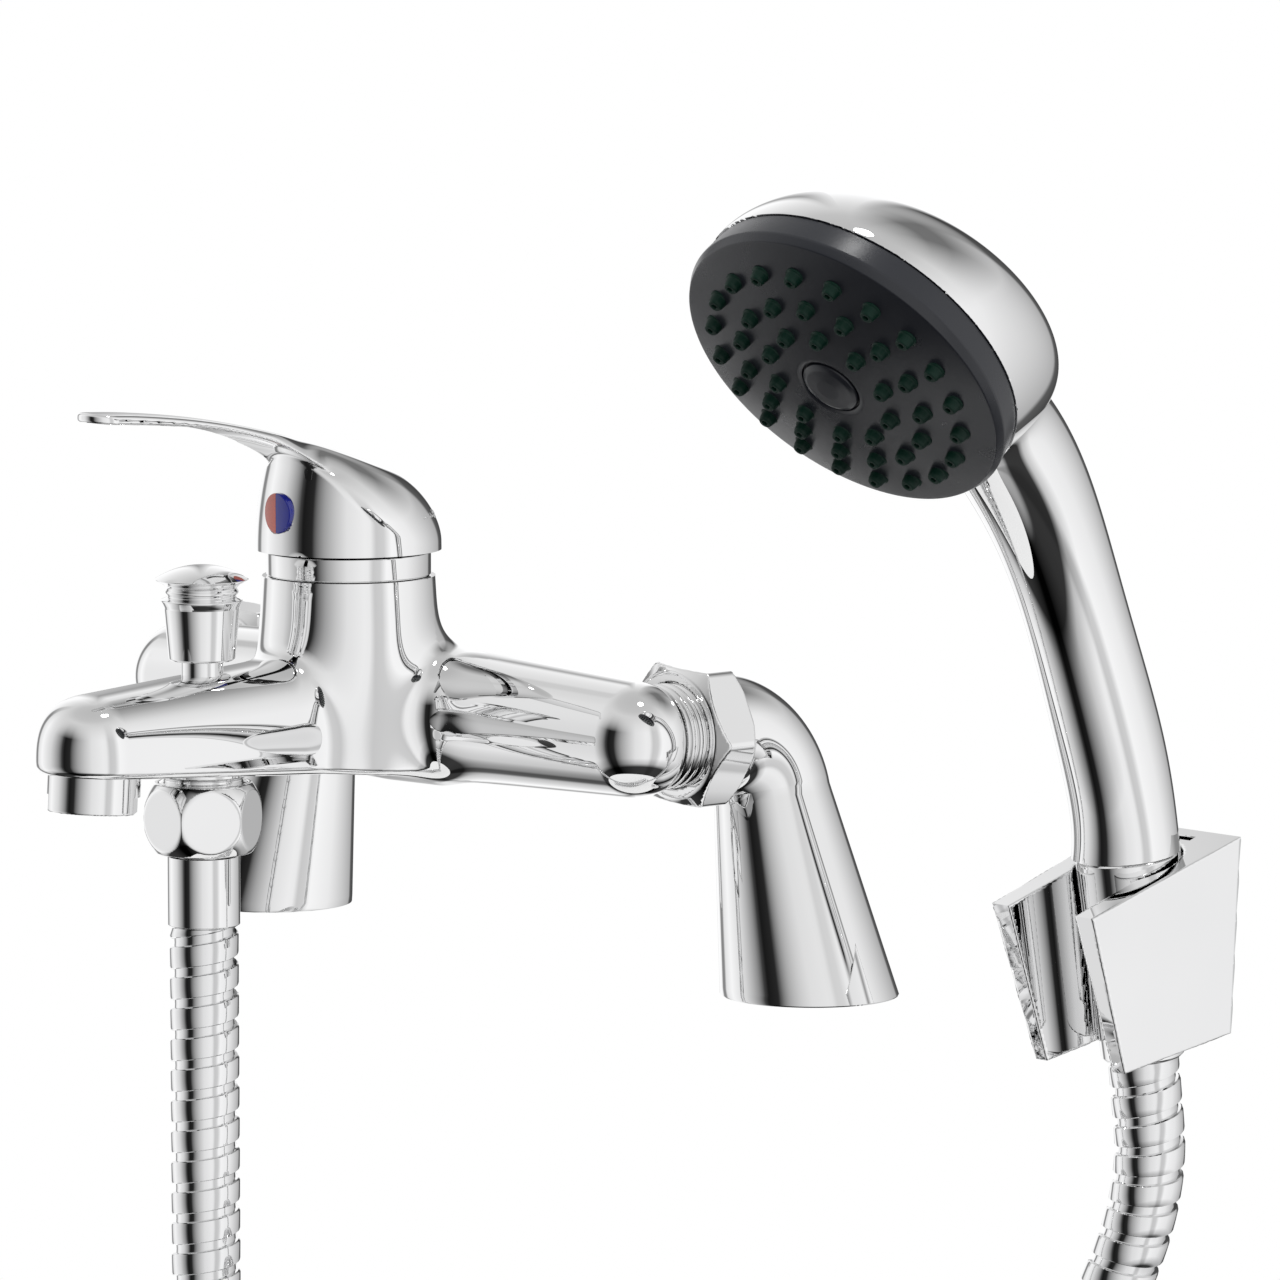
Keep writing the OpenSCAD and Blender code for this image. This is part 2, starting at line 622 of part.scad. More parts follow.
module union_nut(s) {
    color("Silver") difference() {
        intersection() {
            translate([s * union_x, nut_front_y, arm_z]) rotate([-90, nut_turn, 0])
                cylinder(h = nut_len, r = nut_af / 2 / cos(30), $fn = 6);
            translate([s * union_x, nut_front_y, arm_z]) rotate([-90, 0, 0]) rotate_extrude()
                polygon([[0, 0], [nut_turned_r - 1.4, 0], [nut_turned_r, 1.2],
                         [nut_turned_r, nut_len - 0.8], [nut_turned_r - 0.9, nut_len], [0, nut_len]]);
        }
        along_y(nut_front_y - cut, flange_rear_y, s * union_x, arm_z, neck_r + slip);
        along_y(flange_rear_y - cut, nut_rear_y + cut, s * union_x, arm_z, spigot_r + slip);
    }
}

module left_union_nut() union_nut(-1);

module right_union_nut() union_nut(1);

module union_washer(s) {
    color("DimGray") ring_y(neck_end_y, flange_front_y, s * union_x, arm_z, neck_r - 0.2, union_bore_r + 0.3);
}

module left_union_washer() union_washer(-1);

module right_union_washer() union_washer(1);

module cartridge_cover() {
    color("Silver") at_column() difference() {
        union() {
            rotate_extrude() polygon([[cart_neck_r + 0.6, col_top_z], [collar_r, col_top_z],
                [collar_r, collar_top_z - 1.5], [collar_r - 1.4, collar_top_z],
                    [cart_neck_r + 0.6, collar_top_z]]);
            ring_z(col_top_z - 1.5, col_top_z, cart_r, cart_r - 2.4);
        }
        disc_z(col_top_z - 2, collar_top_z + cut, cart_neck_r + 0.6);
    }
}

module cartridge_nut() {
    color("Goldenrod") at_column() ring_z(shoulder_z, shoulder_z + cart_nut_t, cart_r + slip,
        cart_neck_r + 2 * slip);
}

module cartridge_housing() {
    color("WhiteSmoke") at_column() difference() {
        union() {
            disc_z(fixed_disc_z, shoulder_z, cart_r);
            disc_z(shoulder_z - slip, neck_top_z, cart_neck_r);
        }
        disc_z(fixed_disc_z - cut, cavity_top_z, cavity_r);
        disc_z(cavity_top_z - cut, neck_top_z + cut, turn_r + run_fit);
    }
}

module cartridge_base() {
    color("WhiteSmoke") at_column() difference() {
        disc_z(cart_base_z, fixed_disc_z, cart_r);
        cartridge_ports(cart_base_z - cut, fixed_disc_z + cut);
    }
}

module cartridge_seal() {
    color("DimGray") at_column() difference() {
        disc_z(cart_floor_z, cart_base_z, cart_r - 0.4);
        cartridge_ports(cart_floor_z - cut, cart_base_z + cut);
    }
}

module fixed_disc() {
    color("Linen") at_column() difference() {
        disc_z(fixed_disc_z, fixed_disc_z + disc_t, cavity_r - slip);
        cartridge_ports(fixed_disc_z - cut, fixed_disc_z + disc_t + cut);
    }
}

module moving_disc() {
    color("Linen") at_column() difference() {
        translate([0, disc_rest, 0]) disc_z(moving_disc_z, driver_z, moving_disc_r);
        translate([-moving_disc_r - cut, -relief_y - 2 * moving_disc_r, moving_disc_z - cut])
            cube([2 * (moving_disc_r + cut), 2 * moving_disc_r, relief_h + cut]);
    }
}

module disc_driver() {
    color("WhiteSmoke") at_column() difference() {
        translate([0, disc_rest, 0]) disc_z(driver_z, driver_z + driver_t, driver_r);
        disc_z(driver_z - cut, driver_z + driver_t + cut, finger_r + gap);
        translate([0, 0, ball_z]) cylinder(h = driver_z + driver_t + 0.01 - ball_z, r1 = finger_r + gap - 0.1,
            r2 = finger_r + gap + 1.4);
    }
}

module turntable() {
    color("WhiteSmoke") at_column() difference() {
        union() {
            disc_z(flange_z, flange_z + turn_flange_t, cavity_r - gap);
            disc_z(flange_z, turn_top_z, turn_r);
        }
        translate([-slot_half_x, -slot_half_y, flange_z - cut])
            cube([2 * slot_half_x, 2 * slot_half_y, turn_top_z - flange_z + 2 * cut]);
        along_x(-turn_r - cut, turn_r + cut, 0, pivot_z, pin_r);
    }
}

module lever_pin() {
    color("LightSteelBlue") at_column() along_x(-turn_r + 0.6, turn_r - 0.6, 0, pivot_z, pin_r);
}

module spindle() {
    color("Goldenrod") at_column() difference() {
        union() {
            translate([-spindle_x, -spindle_y, spindle_low_z])
                cube([2 * spindle_x, 2 * spindle_y, spindle_top_z - spindle_low_z]);
            disc_z(ball_z, spindle_low_z + 0.5, finger_r - 0.5);
            translate([0, 0, ball_z]) sphere(r = finger_r);
        }
        along_x(-10, 10, 0, pivot_z, pin_r + run_fit);
    }
}

module lever_plan() {
    polygon([[-skirt_r * 0.8, -skirt_r * 0.55], [-11.6, -skirt_r - 6], [-8.6, -lever_reach * 0.62],
             [-lever_tip_w, -lever_reach + lever_tip_w], [lever_tip_w, -lever_reach + lever_tip_w],
             [8.6, -lever_reach * 0.62], [11.6, -skirt_r - 6], [skirt_r * 0.8, -skirt_r * 0.55]]);
    translate([0, -lever_reach + lever_tip_w]) circle(r = lever_tip_w);
}

module handle() {
    color("Silver") at_column() difference() {
        intersection() {
            translate([-40, 0, skirt_z]) rotate([90, 0, 90]) linear_extrude(height = 80) polygon(handle_side);
            union() {
                translate([0, 0, skirt_z]) rotate_extrude() polygon([[0, 0], [skirt_r, 0], [skirt_r - 0.1, 4],
                    [skirt_r - 0.9, 8.4], [skirt_r - 2.6, 12.2], [skirt_r - 5.4, 16],
                    [skirt_r - 9.6, 19.6], [0, 26]]);
                translate([0, 0, skirt_z]) linear_extrude(height = 60) lever_plan();
            }
        }
        difference() {
            union() {
                disc_z(skirt_z - cut, skirt_z + 7.6, skirt_r - skirt_wall);
                translate([0, 0, skirt_z + 7.6]) cylinder(h = 5, r1 = skirt_r - skirt_wall, r2 = 11.5);
            }
            disc_z(boss_z, skirt_z + 20, boss_r);
        }
        translate([-spindle_x - slip, -spindle_y - slip, boss_z - cut])
            cube([2 * (spindle_x + slip), 2 * (spindle_y + slip), spindle_top_z + slip - boss_z + cut]);
        along_y(-skirt_r - cut, -spindle_y, 0, indicator_z, 2.5 + slip);
        along_y(-skirt_r - cut, -boss_r, 0, indicator_z, 3);
        along_y(-skirt_r - cut, -skirt_r + 1.6, 0, indicator_z, indicator_r + slip);
    }
}

module handle_screw() {
    color("LightSteelBlue") at_column() difference() {
        along_y(-spindle_y - 6.5, -spindle_y, 0, indicator_z, 2.5);
        translate([0, -spindle_y - 7.5, indicator_z]) rotate([-90, 0, 0])
            cylinder(h = 3.5, r = 1.45, $fn = 6);
    }
}

module indicator(s) {
    at_column() intersection() {
        along_y(-skirt_r - 0.5, -skirt_r + 1.6, 0, indicator_z, indicator_r);
        disc_z(0, 200, skirt_r + 0.25);
        translate([s > 0 ? slip / 2 : -10 - slip / 2, -skirt_r - 5, indicator_z - 10]) cube([10, 10, 20]);
    }
}

module indicator_red() color("Crimson") indicator(-1);

module indicator_blue() color("MediumBlue") indicator(1);

module diverter_seat() {
    color("Goldenrod") at_diverter() ring_z(upper_seat_z, chamber_step_z, chamber_r - slip, 5);
}

module diverter_gland() {
    color("Silver") at_diverter() ring_z(chamber_top_z, gland_top_z, gland_r, rod_r + run_fit);
}

module diverter_stem() {
    color("LightSteelBlue") at_diverter() disc_z(piston_z - seal_t - 0.1, rod_top_z, rod_r);
}

module diverter_knob() {
    r0 = knob_cap_r - 2.7;
    r1 = knob_cap_r - 1.85;
    color("Silver") at_diverter() difference() {
        rotate_extrude() polygon([[0, knob_low_z], [r0 - 0.4, knob_low_z], [r0, knob_low_z + 0.4],
            [r1, knob_low_z + 11.6], [r1 - 0.7, knob_low_z + 12.1], [r1 + 0.7, knob_low_z + 12.9],
            [r1 + 0.7, knob_low_z + 13.4], [r1 - 0.5, knob_low_z + 14.2], [r1 + 0.5, knob_low_z + 15],
            [r1 - 0.2, knob_low_z + 15.9], [knob_cap_r - 0.5, knob_low_z + 16.7],
                [knob_cap_r, knob_low_z + 17.2],
            [knob_cap_r - 1.2, knob_low_z + 18.5], [knob_cap_r - 4, knob_low_z + 19.9],
                [3, knob_low_z + 20.6],
            [0, knob_top_z]]);
        disc_z(knob_low_z - cut, rod_top_z, rod_r);
    }
}

module diverter_piston() {
    color("Goldenrod") at_diverter() ring_z(piston_z, piston_z + piston_t, piston_r - 0.6, rod_r);
}

module diverter_seal_low() {
    color("DimGray") at_diverter() ring_z(piston_z - seal_t, piston_z, piston_r, rod_r);
}

module diverter_seal_up() {
    color("DimGray") at_diverter() ring_z(piston_z + piston_t, piston_top_z, piston_r, rod_r);
}

module shower_outlet() {
    color("Silver") at_diverter() difference() {
        union() {
            disc_z(nipple_low_z, nipple_face_z - 1.6, outlet_thread_r);
            disc_z(nipple_face_z - 1.6, nipple_face_z, outlet_thread_r + 1.4);
            disc_z(nipple_face_z - 0.01, cup_z, chamber_r - slip);
        }
        disc_z(seat_z, cup_z + cut, piston_r + gap + 0.1);
        disc_z(nipple_low_z - cut, seat_z + cut, 6);
    }
}

module check_valve() {
    color("WhiteSmoke") at_diverter() difference() {
        disc_z(nipple_low_z + 1, nipple_low_z + 10, 6 - slip);
        disc_z(nipple_low_z, nipple_low_z + 8, 4.6);
        for (a = [0:60:300]) rotate([0, 0, a]) translate([3, 0, nipple_low_z]) cylinder(h = 12, r = 1);
    }
}

module aerator_housing() {
    color("Silver") at_outlet() difference() {
        union() {
            disc_z(-aerator_h, aerator_sink, aerator_r);
            disc_z(0, aerator_thread_h - 1.6, aerator_thread_r);
        }
        disc_z(-aerator_h + 1, aerator_thread_h + cut, aerator_bore_r);
        disc_z(-aerator_h - cut, 0, aerator_bore_r - 0.8);
        for (a = [45, 225]) rotate([0, 0, a]) translate([aerator_r - 0.9, -10, -aerator_h - cut])
            cube([5, 20, 3.6 + cut]);
    }
}

module aerator_insert() {
    color("DarkSlateGray") at_outlet() difference() {
        disc_z(-aerator_h + 1, aerator_thread_h - 1.6, aerator_bore_r - slip);
        for (k = [[0, 1], [2.1, 6], [4.3, 12]]) for (i = [0:k[1] - 1]) rotate([0, 0, 360 * i / k[1]])
            translate([k[0], 0, -aerator_h]) cylinder(h = aerator_h + aerator_thread_h, r = 0.75);
    }
}

module aerator_washer() {
    color("DimGray") at_outlet() ring_z(aerator_thread_h - 1.6, aerator_thread_h, aerator_thread_r - slip,
        aerator_bore_r - 1);
}

module hose_nut() {
    color("Silver") at_diverter() difference() {
        intersection() {
            translate([0, 0, ferrule_top_z]) cylinder(h = hose_nut_top_z - ferrule_top_z,
                r = hose_nut_af / 2 / cos(30), $fn = 6);
            translate([0, 0, ferrule_top_z]) rotate_extrude() let (h = hose_nut_top_z - ferrule_top_z)
                polygon([[0, 0], [hose_nut_r - 1.6, 0], [hose_nut_r - 0.5, h * 0.2], [hose_nut_r, h * 0.42],
                         [hose_nut_r, h * 0.58], [hose_nut_r - 0.5, h * 0.8], [hose_nut_r - 1.6, h], [0, h]]);
        }
        disc_z(ferrule_top_z + hose_nut_lip, hose_nut_top_z + cut, outlet_thread_r + slip);
        disc_z(ferrule_top_z - cut, hose_nut_top_z, ferrule_neck_r + slip);
    }
}

module hose_washer() {
    color("DimGray") at_diverter()
        ring_z(ferrule_top_z + hose_nut_lip + hose_flange_t, nipple_low_z, outlet_thread_r - 0.3, 6);
}

module mixer_ferrule() {
    color("Silver") at_diverter() difference() {
        union() {
            disc_z(hose_start_z, ferrule_top_z, ferrule_r);
            disc_z(ferrule_top_z - 0.01, ferrule_top_z + hose_nut_lip, ferrule_neck_r);
            disc_z(ferrule_top_z + hose_nut_lip, ferrule_top_z + hose_nut_lip + hose_flange_t,
                outlet_thread_r - 0.3);
        }
        disc_z(hose_start_z - cut, ferrule_top_z + 6, hose_bore_r);
    }
}

module hose_mixer_run() color("Silver") tube(left_rings, left_bore);

module hose_coil() color("Silver") tube(coil_rings, coil_bore);

module hose_handset_run() color("Silver") tube(right_rings, right_bore);

module hose_tie() {
    bottom = [for (k = [0:2]) coil_pt(90 + 360 * k)];
    half = hose_r + 0.5;
    span = norm(bottom[2] - bottom[0]);
    color("Black") translate((bottom[0] + bottom[2]) / 2) rotate([0, 0, coil_dir]) rotate([90, 0, 90])
        translate([0, 0, -6]) linear_extrude(height = 12) difference() {
            union() {
                square([span, 2 * (half + tie_t)], center = true);
                for (s = [-1, 1]) translate([s * span / 2, 0]) circle(r = half + tie_t);
            }
            square([span, 2 * half], center = true);
            for (s = [-1, 1]) translate([s * span / 2, 0]) circle(r = half);
        }
}

module cone_nut() {
    color("Silver") at_grip() difference() {
        translate([0, 0, -cone_len]) cylinder(h = cone_len - gap, r1 = cone_end_r, r2 = cone_top_r);
        disc_z(-nipple_len - gap - cone_washer_t, 0, nipple_r + run_fit);
        disc_z(-cone_len - cut, -nipple_len, hose_bore_r);
    }
}

module cone_washer() {
    color("DimGray") at_grip()
        ring_z(-nipple_len - gap - cone_washer_t, -nipple_len - gap, nipple_r - 0.1, hose_bore_r + 0.5);
}

module head_shell_outside() {
    loft([for (t = back_steps) back_ring(bezel_z + head_dome * t, drawn_in(rim_r, t))]);
}

module head_shell_inside() {
    loft([for (t = concat([room_t], [for (k = back_steps) if (k > room_t + 0.1) k]))
        back_ring(bezel_z + (head_dome - shell_wall) * t, drawn_in(spigot_in_r - 0.4, t))]);
}

module handset_shell() {
    color("Silver") difference() {
        union() {
            difference() {
                union() {
                    at_head() head_shell_outside();
                    at_turn() loft([for (i = [0:len(grip_line) - 1]) grip_ring(i)]);
                }
                at_head() head_shell_inside();
                at_head() disc_z(bezel_z - 30, ledge_z, spigot_out_r + slip);
            }
            at_head() disc_z(post_z, bezel_z + head_dome - 2, post_r);
            at_grip() disc_z(-nipple_len, 0.01, nipple_r);
        }
        at_grip() disc_z(-nipple_len - cut, 12, channel_r);
        for (i = [0:len(spine) - 3]) let (a = grip_pt + [0, spine[i][0], spine[i][1]],
                b = grip_pt + [0, spine[i + 1][0], spine[i + 1][1]], d = b - a)
            at_turn() translate(a) rotate([atan2(-d[1], d[2]), 0, 0]) union() {
                cylinder(h = norm(d), r = channel_r);
                sphere(r = channel_r + 0.3);
            }
        at_grip() disc_z(-nipple_len - cut, -nipple_len + 2.4, channel_r + 2);
        at_head() disc_z(post_z - cut, post_z + 10, 1.85);
    }
}

module filter_washer() {
    color("WhiteSmoke") at_grip() difference() {
        disc_z(-nipple_len, -nipple_len + 2.4, channel_r + 2 - slip);
        for (a = [0:60:300]) rotate([0, 0, a]) translate([2.8, 0, -nipple_len - cut])
            cylinder(h = 5, r = 0.9);
        disc_z(-nipple_len - cut, -nipple_len + 4, 1);
    }
}

module nozzle_places() {
    for (k = rings) for (i = [0:k[1] - 1]) rotate([0, 0, k[2] + 360 * i / k[1]])
        translate([k[0], 0, face_z(k[0])])
        children();
}

module head_face() {
    color("DarkSlateGray") at_head() difference() {
        union() {
            intersection() {
                translate([0, 0, ball_c]) sphere(r = face_ball);
                disc_z(-6, face_edge_z, face_r);
            }
            translate([0, 0, face_edge_z - 0.01])
                cylinder(h = band_z - face_edge_z + 0.01, r1 = face_r, r2 = head_r);
            translate([0, 0, band_z - 0.01])
                cylinder(h = bezel_z - band_z + 0.01, r1 = head_r, r2 = bezel_r);
            disc_z(bezel_z - 0.01, spigot_z, spigot_out_r);
        }
        difference() {
            union() {
                intersection() {
                    translate([0, 0, ball_c]) sphere(r = face_ball - face_t);
                    disc_z(-6, 8, spigot_in_r);
                }
                disc_z(7.9, spigot_z + cut, spigot_in_r);
            }
            disc_z(-6, post_z, post_r + 0.6);
        }
        nozzle_places() translate([0, 0, -3]) cylinder(h = 9, r = nozzle_r + 0.1);
        disc_z(-8, cap_floor_z, cap_r + slip);
        disc_z(-8, head_floor_z, 3.3);
        disc_z(-8, post_z + cut, 1.95);
    }
}

module nozzle_mat() {
    color("DarkGreen") at_head() difference() {
        union() {
            difference() {
                intersection() {
                    translate([0, 0, ball_c]) sphere(r = face_ball - face_t);
                    disc_z(-6, 6.4, mat_r);
                }
                translate([0, 0, ball_c]) sphere(r = face_ball - face_t - mat_t);
                disc_z(-6, 10, post_r + 0.7);
            }
            nozzle_places() {
                translate([0, 0, -0.4]) cylinder(h = 3.2, r = nozzle_r);
                translate([0, 0, -nozzle_out]) cylinder(h = nozzle_out - 0.39, r1 = nozzle_tip_r,
                    r2 = nozzle_r - 0.2);
            }
        }
        nozzle_places() translate([0, 0, -3]) cylinder(h = 8, r = jet_r);
    }
}

module centre_cap() {
    color("DarkSlateGray") at_head() rotate([180, 0, 0]) translate([0, 0, -cap_floor_z]) rotate_extrude()
        polygon([[0, 0], [cap_r, 0], [cap_r, 1.1], [cap_r - 0.7, 1.5], [cap_r * 0.6, 1.85],
            [cap_r * 0.3, 2], [0, 2.05]]);
}

module face_screw() {
    color("LightSteelBlue") at_head() difference() {
        union() {
            disc_z(head_floor_z - 1.6, head_floor_z, 3.2);
            disc_z(head_floor_z - 0.01, post_z + 8, 1.8);
        }
        for (a = [0, 90]) rotate([0, 0, a]) translate([-2, -0.4, head_floor_z - 2]) cube([4, 0.8, 1.4]);
    }
}

module face_seal() {
    color("DimGray") at_head() ring_z(spigot_z, ledge_z, spigot_out_r - 0.1, spigot_in_r);
}

module cheek_cut() {
    translate([cheek_base, 0, 0]) rotate([0, cheek_lean, cheek_yaw]) translate([0, -60, -80])
        cube([60, 160, 200]);
}

module bracket() {
    color("Silver") difference() {
        translate([hand_x - 40, 0, 0]) rotate([90, 0, 90]) linear_extrude(height = 80) polygon(bracket_side);
        translate([hand_x, 0, 0]) cheek_cut();
        translate([hand_x, 0, 0]) mirror([1, 0, 0]) cheek_cut();
        at_grip() socket_cut();
        for (s = [-0.5, 0.5]) {
            along_y(0, wall_y + cut, hand_x, screw_mid_z + s * screw_pitch, screw_r);
            along_y(0, wall_y - 2.4, hand_x, screw_mid_z + s * screw_pitch, screw_r * 1.9);
        }
        translate([hand_x - 6, wall_y - 4.6, 28]) cube([12, 1.8, 20]);
    }
}

module socket_cut() {
    slope = (cone_top_r - cone_end_r) / cone_len;
    translate([0, 0, -cone_len - 10]) cylinder(h = cone_len + 30, r1 = cone_end_r - 10 * slope + socket_gap,
        r2 = cone_top_r + 20 * slope + socket_gap);
    translate([0, 0, -step_s]) cylinder(h = step_s + 20, r1 = cone_top_r
        - step_s * slope + socket_gap + step_out,
        r2 = cone_top_r + 20 * slope + socket_gap + step_out);
    translate([-slot_w, -60, -cone_len - 10]) cube([2 * slot_w, 60, cone_len + 40]);
    for (a = flute_angles) for (s = [-1, 1]) rotate([0, 0, -90 + s * a])
        translate([cone_end_r + socket_gap + 0.2, 0, -cone_len - 10])
            cylinder(h = cone_len + 40, r = flute_r);
}

mixer_body();
left_pillar();
right_pillar();
left_base_seal();
right_base_seal();
left_union_nut();
right_union_nut();
left_union_washer();
right_union_washer();
cartridge_cover();
cartridge_nut();
cartridge_housing();
cartridge_base();
cartridge_seal();
fixed_disc();
moving_disc();
disc_driver();
turntable();
lever_pin();
spindle();
handle();
handle_screw();
indicator_red();
indicator_blue();
diverter_seat();
diverter_gland();
diverter_stem();
diverter_knob();
diverter_piston();
diverter_seal_low();
diverter_seal_up();
shower_outlet();
check_valve();
aerator_housing();
aerator_insert();
aerator_washer();
hose_nut();
hose_washer();
mixer_ferrule();
hose_mixer_run();
hose_coil();
hose_handset_run();
hose_tie();
cone_nut();
cone_washer();
handset_shell();
filter_washer();
head_face();
nozzle_mat();
centre_cap();
face_screw();
face_seal();
bracket();
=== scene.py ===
import json
import math

import bpy
import numpy as np
from mathutils import Matrix, Vector


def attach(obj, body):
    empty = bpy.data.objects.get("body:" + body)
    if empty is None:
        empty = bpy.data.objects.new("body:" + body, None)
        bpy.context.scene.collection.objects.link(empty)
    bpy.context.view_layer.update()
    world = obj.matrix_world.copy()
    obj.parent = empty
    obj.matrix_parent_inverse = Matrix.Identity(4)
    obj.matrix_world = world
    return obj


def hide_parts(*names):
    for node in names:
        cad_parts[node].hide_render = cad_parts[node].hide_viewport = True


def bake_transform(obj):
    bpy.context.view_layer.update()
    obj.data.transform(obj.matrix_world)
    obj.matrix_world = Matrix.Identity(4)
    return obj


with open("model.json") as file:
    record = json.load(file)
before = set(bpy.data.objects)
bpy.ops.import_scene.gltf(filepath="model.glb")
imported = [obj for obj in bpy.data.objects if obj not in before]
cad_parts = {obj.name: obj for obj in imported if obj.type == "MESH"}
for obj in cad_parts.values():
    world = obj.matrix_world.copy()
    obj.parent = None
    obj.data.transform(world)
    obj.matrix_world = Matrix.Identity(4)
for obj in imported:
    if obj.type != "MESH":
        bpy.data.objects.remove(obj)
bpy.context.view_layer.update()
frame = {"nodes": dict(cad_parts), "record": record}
nodes = frame["nodes"]

# Sizes in millimetres and angles in radians, as in the solids
UNION_X, ARM_Y, ARM_Z = 75.0, -36.0, 56.5
FOOT_X = 90.0
COL_Y, COL_TOP = -52.0, 86.7
DIV_Y, OUT_Y = -93.0, -122.6
SPOUT_TIP_Z, SPOUT_ROOT_Z = 49.3, 44.8
SKIRT_Z, SKIRT_R, INDICATOR_UP = 92.4, 20.2, 9.0
HAND_X = 160.3
GRIP = np.array([HAND_X, 25.5, 35.5])
TILT = math.radians(7.2)
HEAD_AT = np.array([0, -90.35, 105.06])
HEAD_TURN = math.radians(40.2 - 90)
HAND_TURN = math.radians(4.8)
CONE_LENGTH, CONE_FOOT_R, CONE_TOP_R = 44.0, 8.8, 10.9
HOSE_R, HOSE_TOP = 7.5, 14.0
COIL_R, COIL_PITCH, COIL_TURNS, COIL_Z = 75.0, 16.5, 2.5, -150.0
UP = np.array([0, 0, 1.0])


# Nodes shared by the studio and the materials

def feed(t, socket, value):
    """Set a socket to another node's output, a number or a colour."""
    if isinstance(value, bpy.types.NodeSocket):
        t.links.new(value, socket)
    else:
        socket.default_value = value


def math_node(t, operation, *values):
    node = t.nodes.new("ShaderNodeMath")
    node.operation = operation
    for socket, value in zip(node.inputs, values):
        feed(t, socket, value)
    return node.outputs[0]


def mix_node(t, factor, a, b, blend="MIX"):
    node = t.nodes.new("ShaderNodeMix")
    node.data_type, node.blend_type = "RGBA", blend
    for name, value in (("Factor", factor), ("A", a), ("B", b)):
        feed(t, node.inputs[name], value)
    return node.outputs["Result"]


def range_node(t, value, lo, hi, low=0.0, high=1.0):
    node = t.nodes.new("ShaderNodeMapRange")
    for name, v in (("Value", value), ("From Min", lo), ("From Max", hi), ("To Min", low), ("To Max", high)):
        feed(t, node.inputs[name], v)
    return node.outputs[0]


def grey_ramp(t, value, stops, blue=1.0):
    node = t.nodes.new("ShaderNodeValToRGB")
    t.links.new(value, node.inputs[0])
    steps = node.color_ramp.elements
    while len(steps) < len(stops):
        steps.new(0.5)
    for e, (p, v) in zip(steps, stops):
        e.position = p
        e.color = (v, v, v * blue, 1)
    return node.outputs[0]


def shader_mix(t, factor, a, b, out):
    mix = t.nodes.new("ShaderNodeMixShader")
    for socket, value in zip(mix.inputs, (factor, a, b)):
        t.links.new(value, socket)
    t.links.new(mix.outputs[0], out)


# Camera, world and lamps: the camera was fitted to marked points of the photograph

FRAME_PX, FOCAL_PX, SENSOR_MM = 1280, 8420.43, 36
CAM_RIGHT, CAM_UP = (0.66966, 0.74267, 0.0), (-0.08759, 0.07898, 0.99302)
CAM_BACK, CAM_EYE = (0.73749, -0.66498, 0.11794), (1.38884, -1.21936, 0.28778)

# Pale walls round the object with dark gaps between them: degrees from the camera's side, positive to
# its right, and brightness
WALLS = [(-180, 0.9), (-176, 0.3), (-172, 1.0), (-152, 0.95), (-147, 0.25), (-139, 0.25), (-134, 0.8),
         (-118, 0.98), (-90, 0.70), (-80, 0.5), (-70, 0.28), (-62, 0.05), (-57, 0.01), (-44, 0.02),
         (-38, 0.16), (-28, 0.36), (-14, 0.58), (0, 0.78), (22, 0.88), (29, 0.86), (36, 0.6), (46, 0.64),
         (56, 0.96), (90, 0.86), (110, 0.70), (130, 0.54), (146, 0.42), (151, 0.1), (168, 0.05), (173, 1.0)]
WALL_BLUE = 1.005
CAMERA_SIDE = 42.04
# Sine of the height, from straight down to straight up: floor, dark gap past its edge, walls, ceiling
HEIGHTS = [(-1.0, 0.5), (-0.95, 0.4), (-0.92, 0.04), (-0.74, 0.04), (-0.66, 0.6), (-0.5, 1.0), (0.35, 1.0),
           (0.6, 0.82), (0.8, 0.66), (0.9, 0.56), (1.0, 0.52)]
# The walls' gaps fade out between these heights
GAPS_END = (0.35, 0.8)
# One dark panel high up behind the object, by angle and by height
PANEL_TURN = [(84, 0), (128, 0.8), (150, 0.8), (174, 0)]
PANEL_HEIGHT = [(0.42, 0), (0.7, 1), (0.8, 1), (0.97, 0)]
PANEL_GREY = (0.05, 0.05, 0.05, 1)
WHITE = (1, 1, 1, 1)
STUDIO = 1.1

# Lamps in metres and watts: name, place, target, width and height, power
MID = (0.04, -0.04, 0.05)
LAMPS = [("key", (0.9, -1.5, 1.5), MID, (1.0, 1.0), 9),
         ("side", (1.8, 0.3, 0.9), MID, (0.7, 1.4), 7),
         ("top", (0.0, -0.1, 1.9), MID, (1.6, 1.2), 10),
         ("spark", (0.205, -0.02, 0.765), (0.186, -0.079, 0.168), (0.11, 0.11), 0.4)]
SEEN_IN_CHROME = "spark"


def make_camera():
    data = bpy.data.cameras.new("camera")
    data.sensor_width = SENSOR_MM
    data.sensor_fit = "HORIZONTAL"
    data.lens = SENSOR_MM * FOCAL_PX / FRAME_PX
    data.clip_start, data.clip_end = 0.05, 50
    cam = bpy.data.objects.new("camera", data)
    bpy.context.scene.collection.objects.link(cam)
    rows = [[CAM_RIGHT[i], CAM_UP[i], CAM_BACK[i], CAM_EYE[i]] for i in range(3)]
    cam.matrix_world = Matrix(rows + [[0, 0, 0, 1]])
    bpy.context.scene.camera = cam


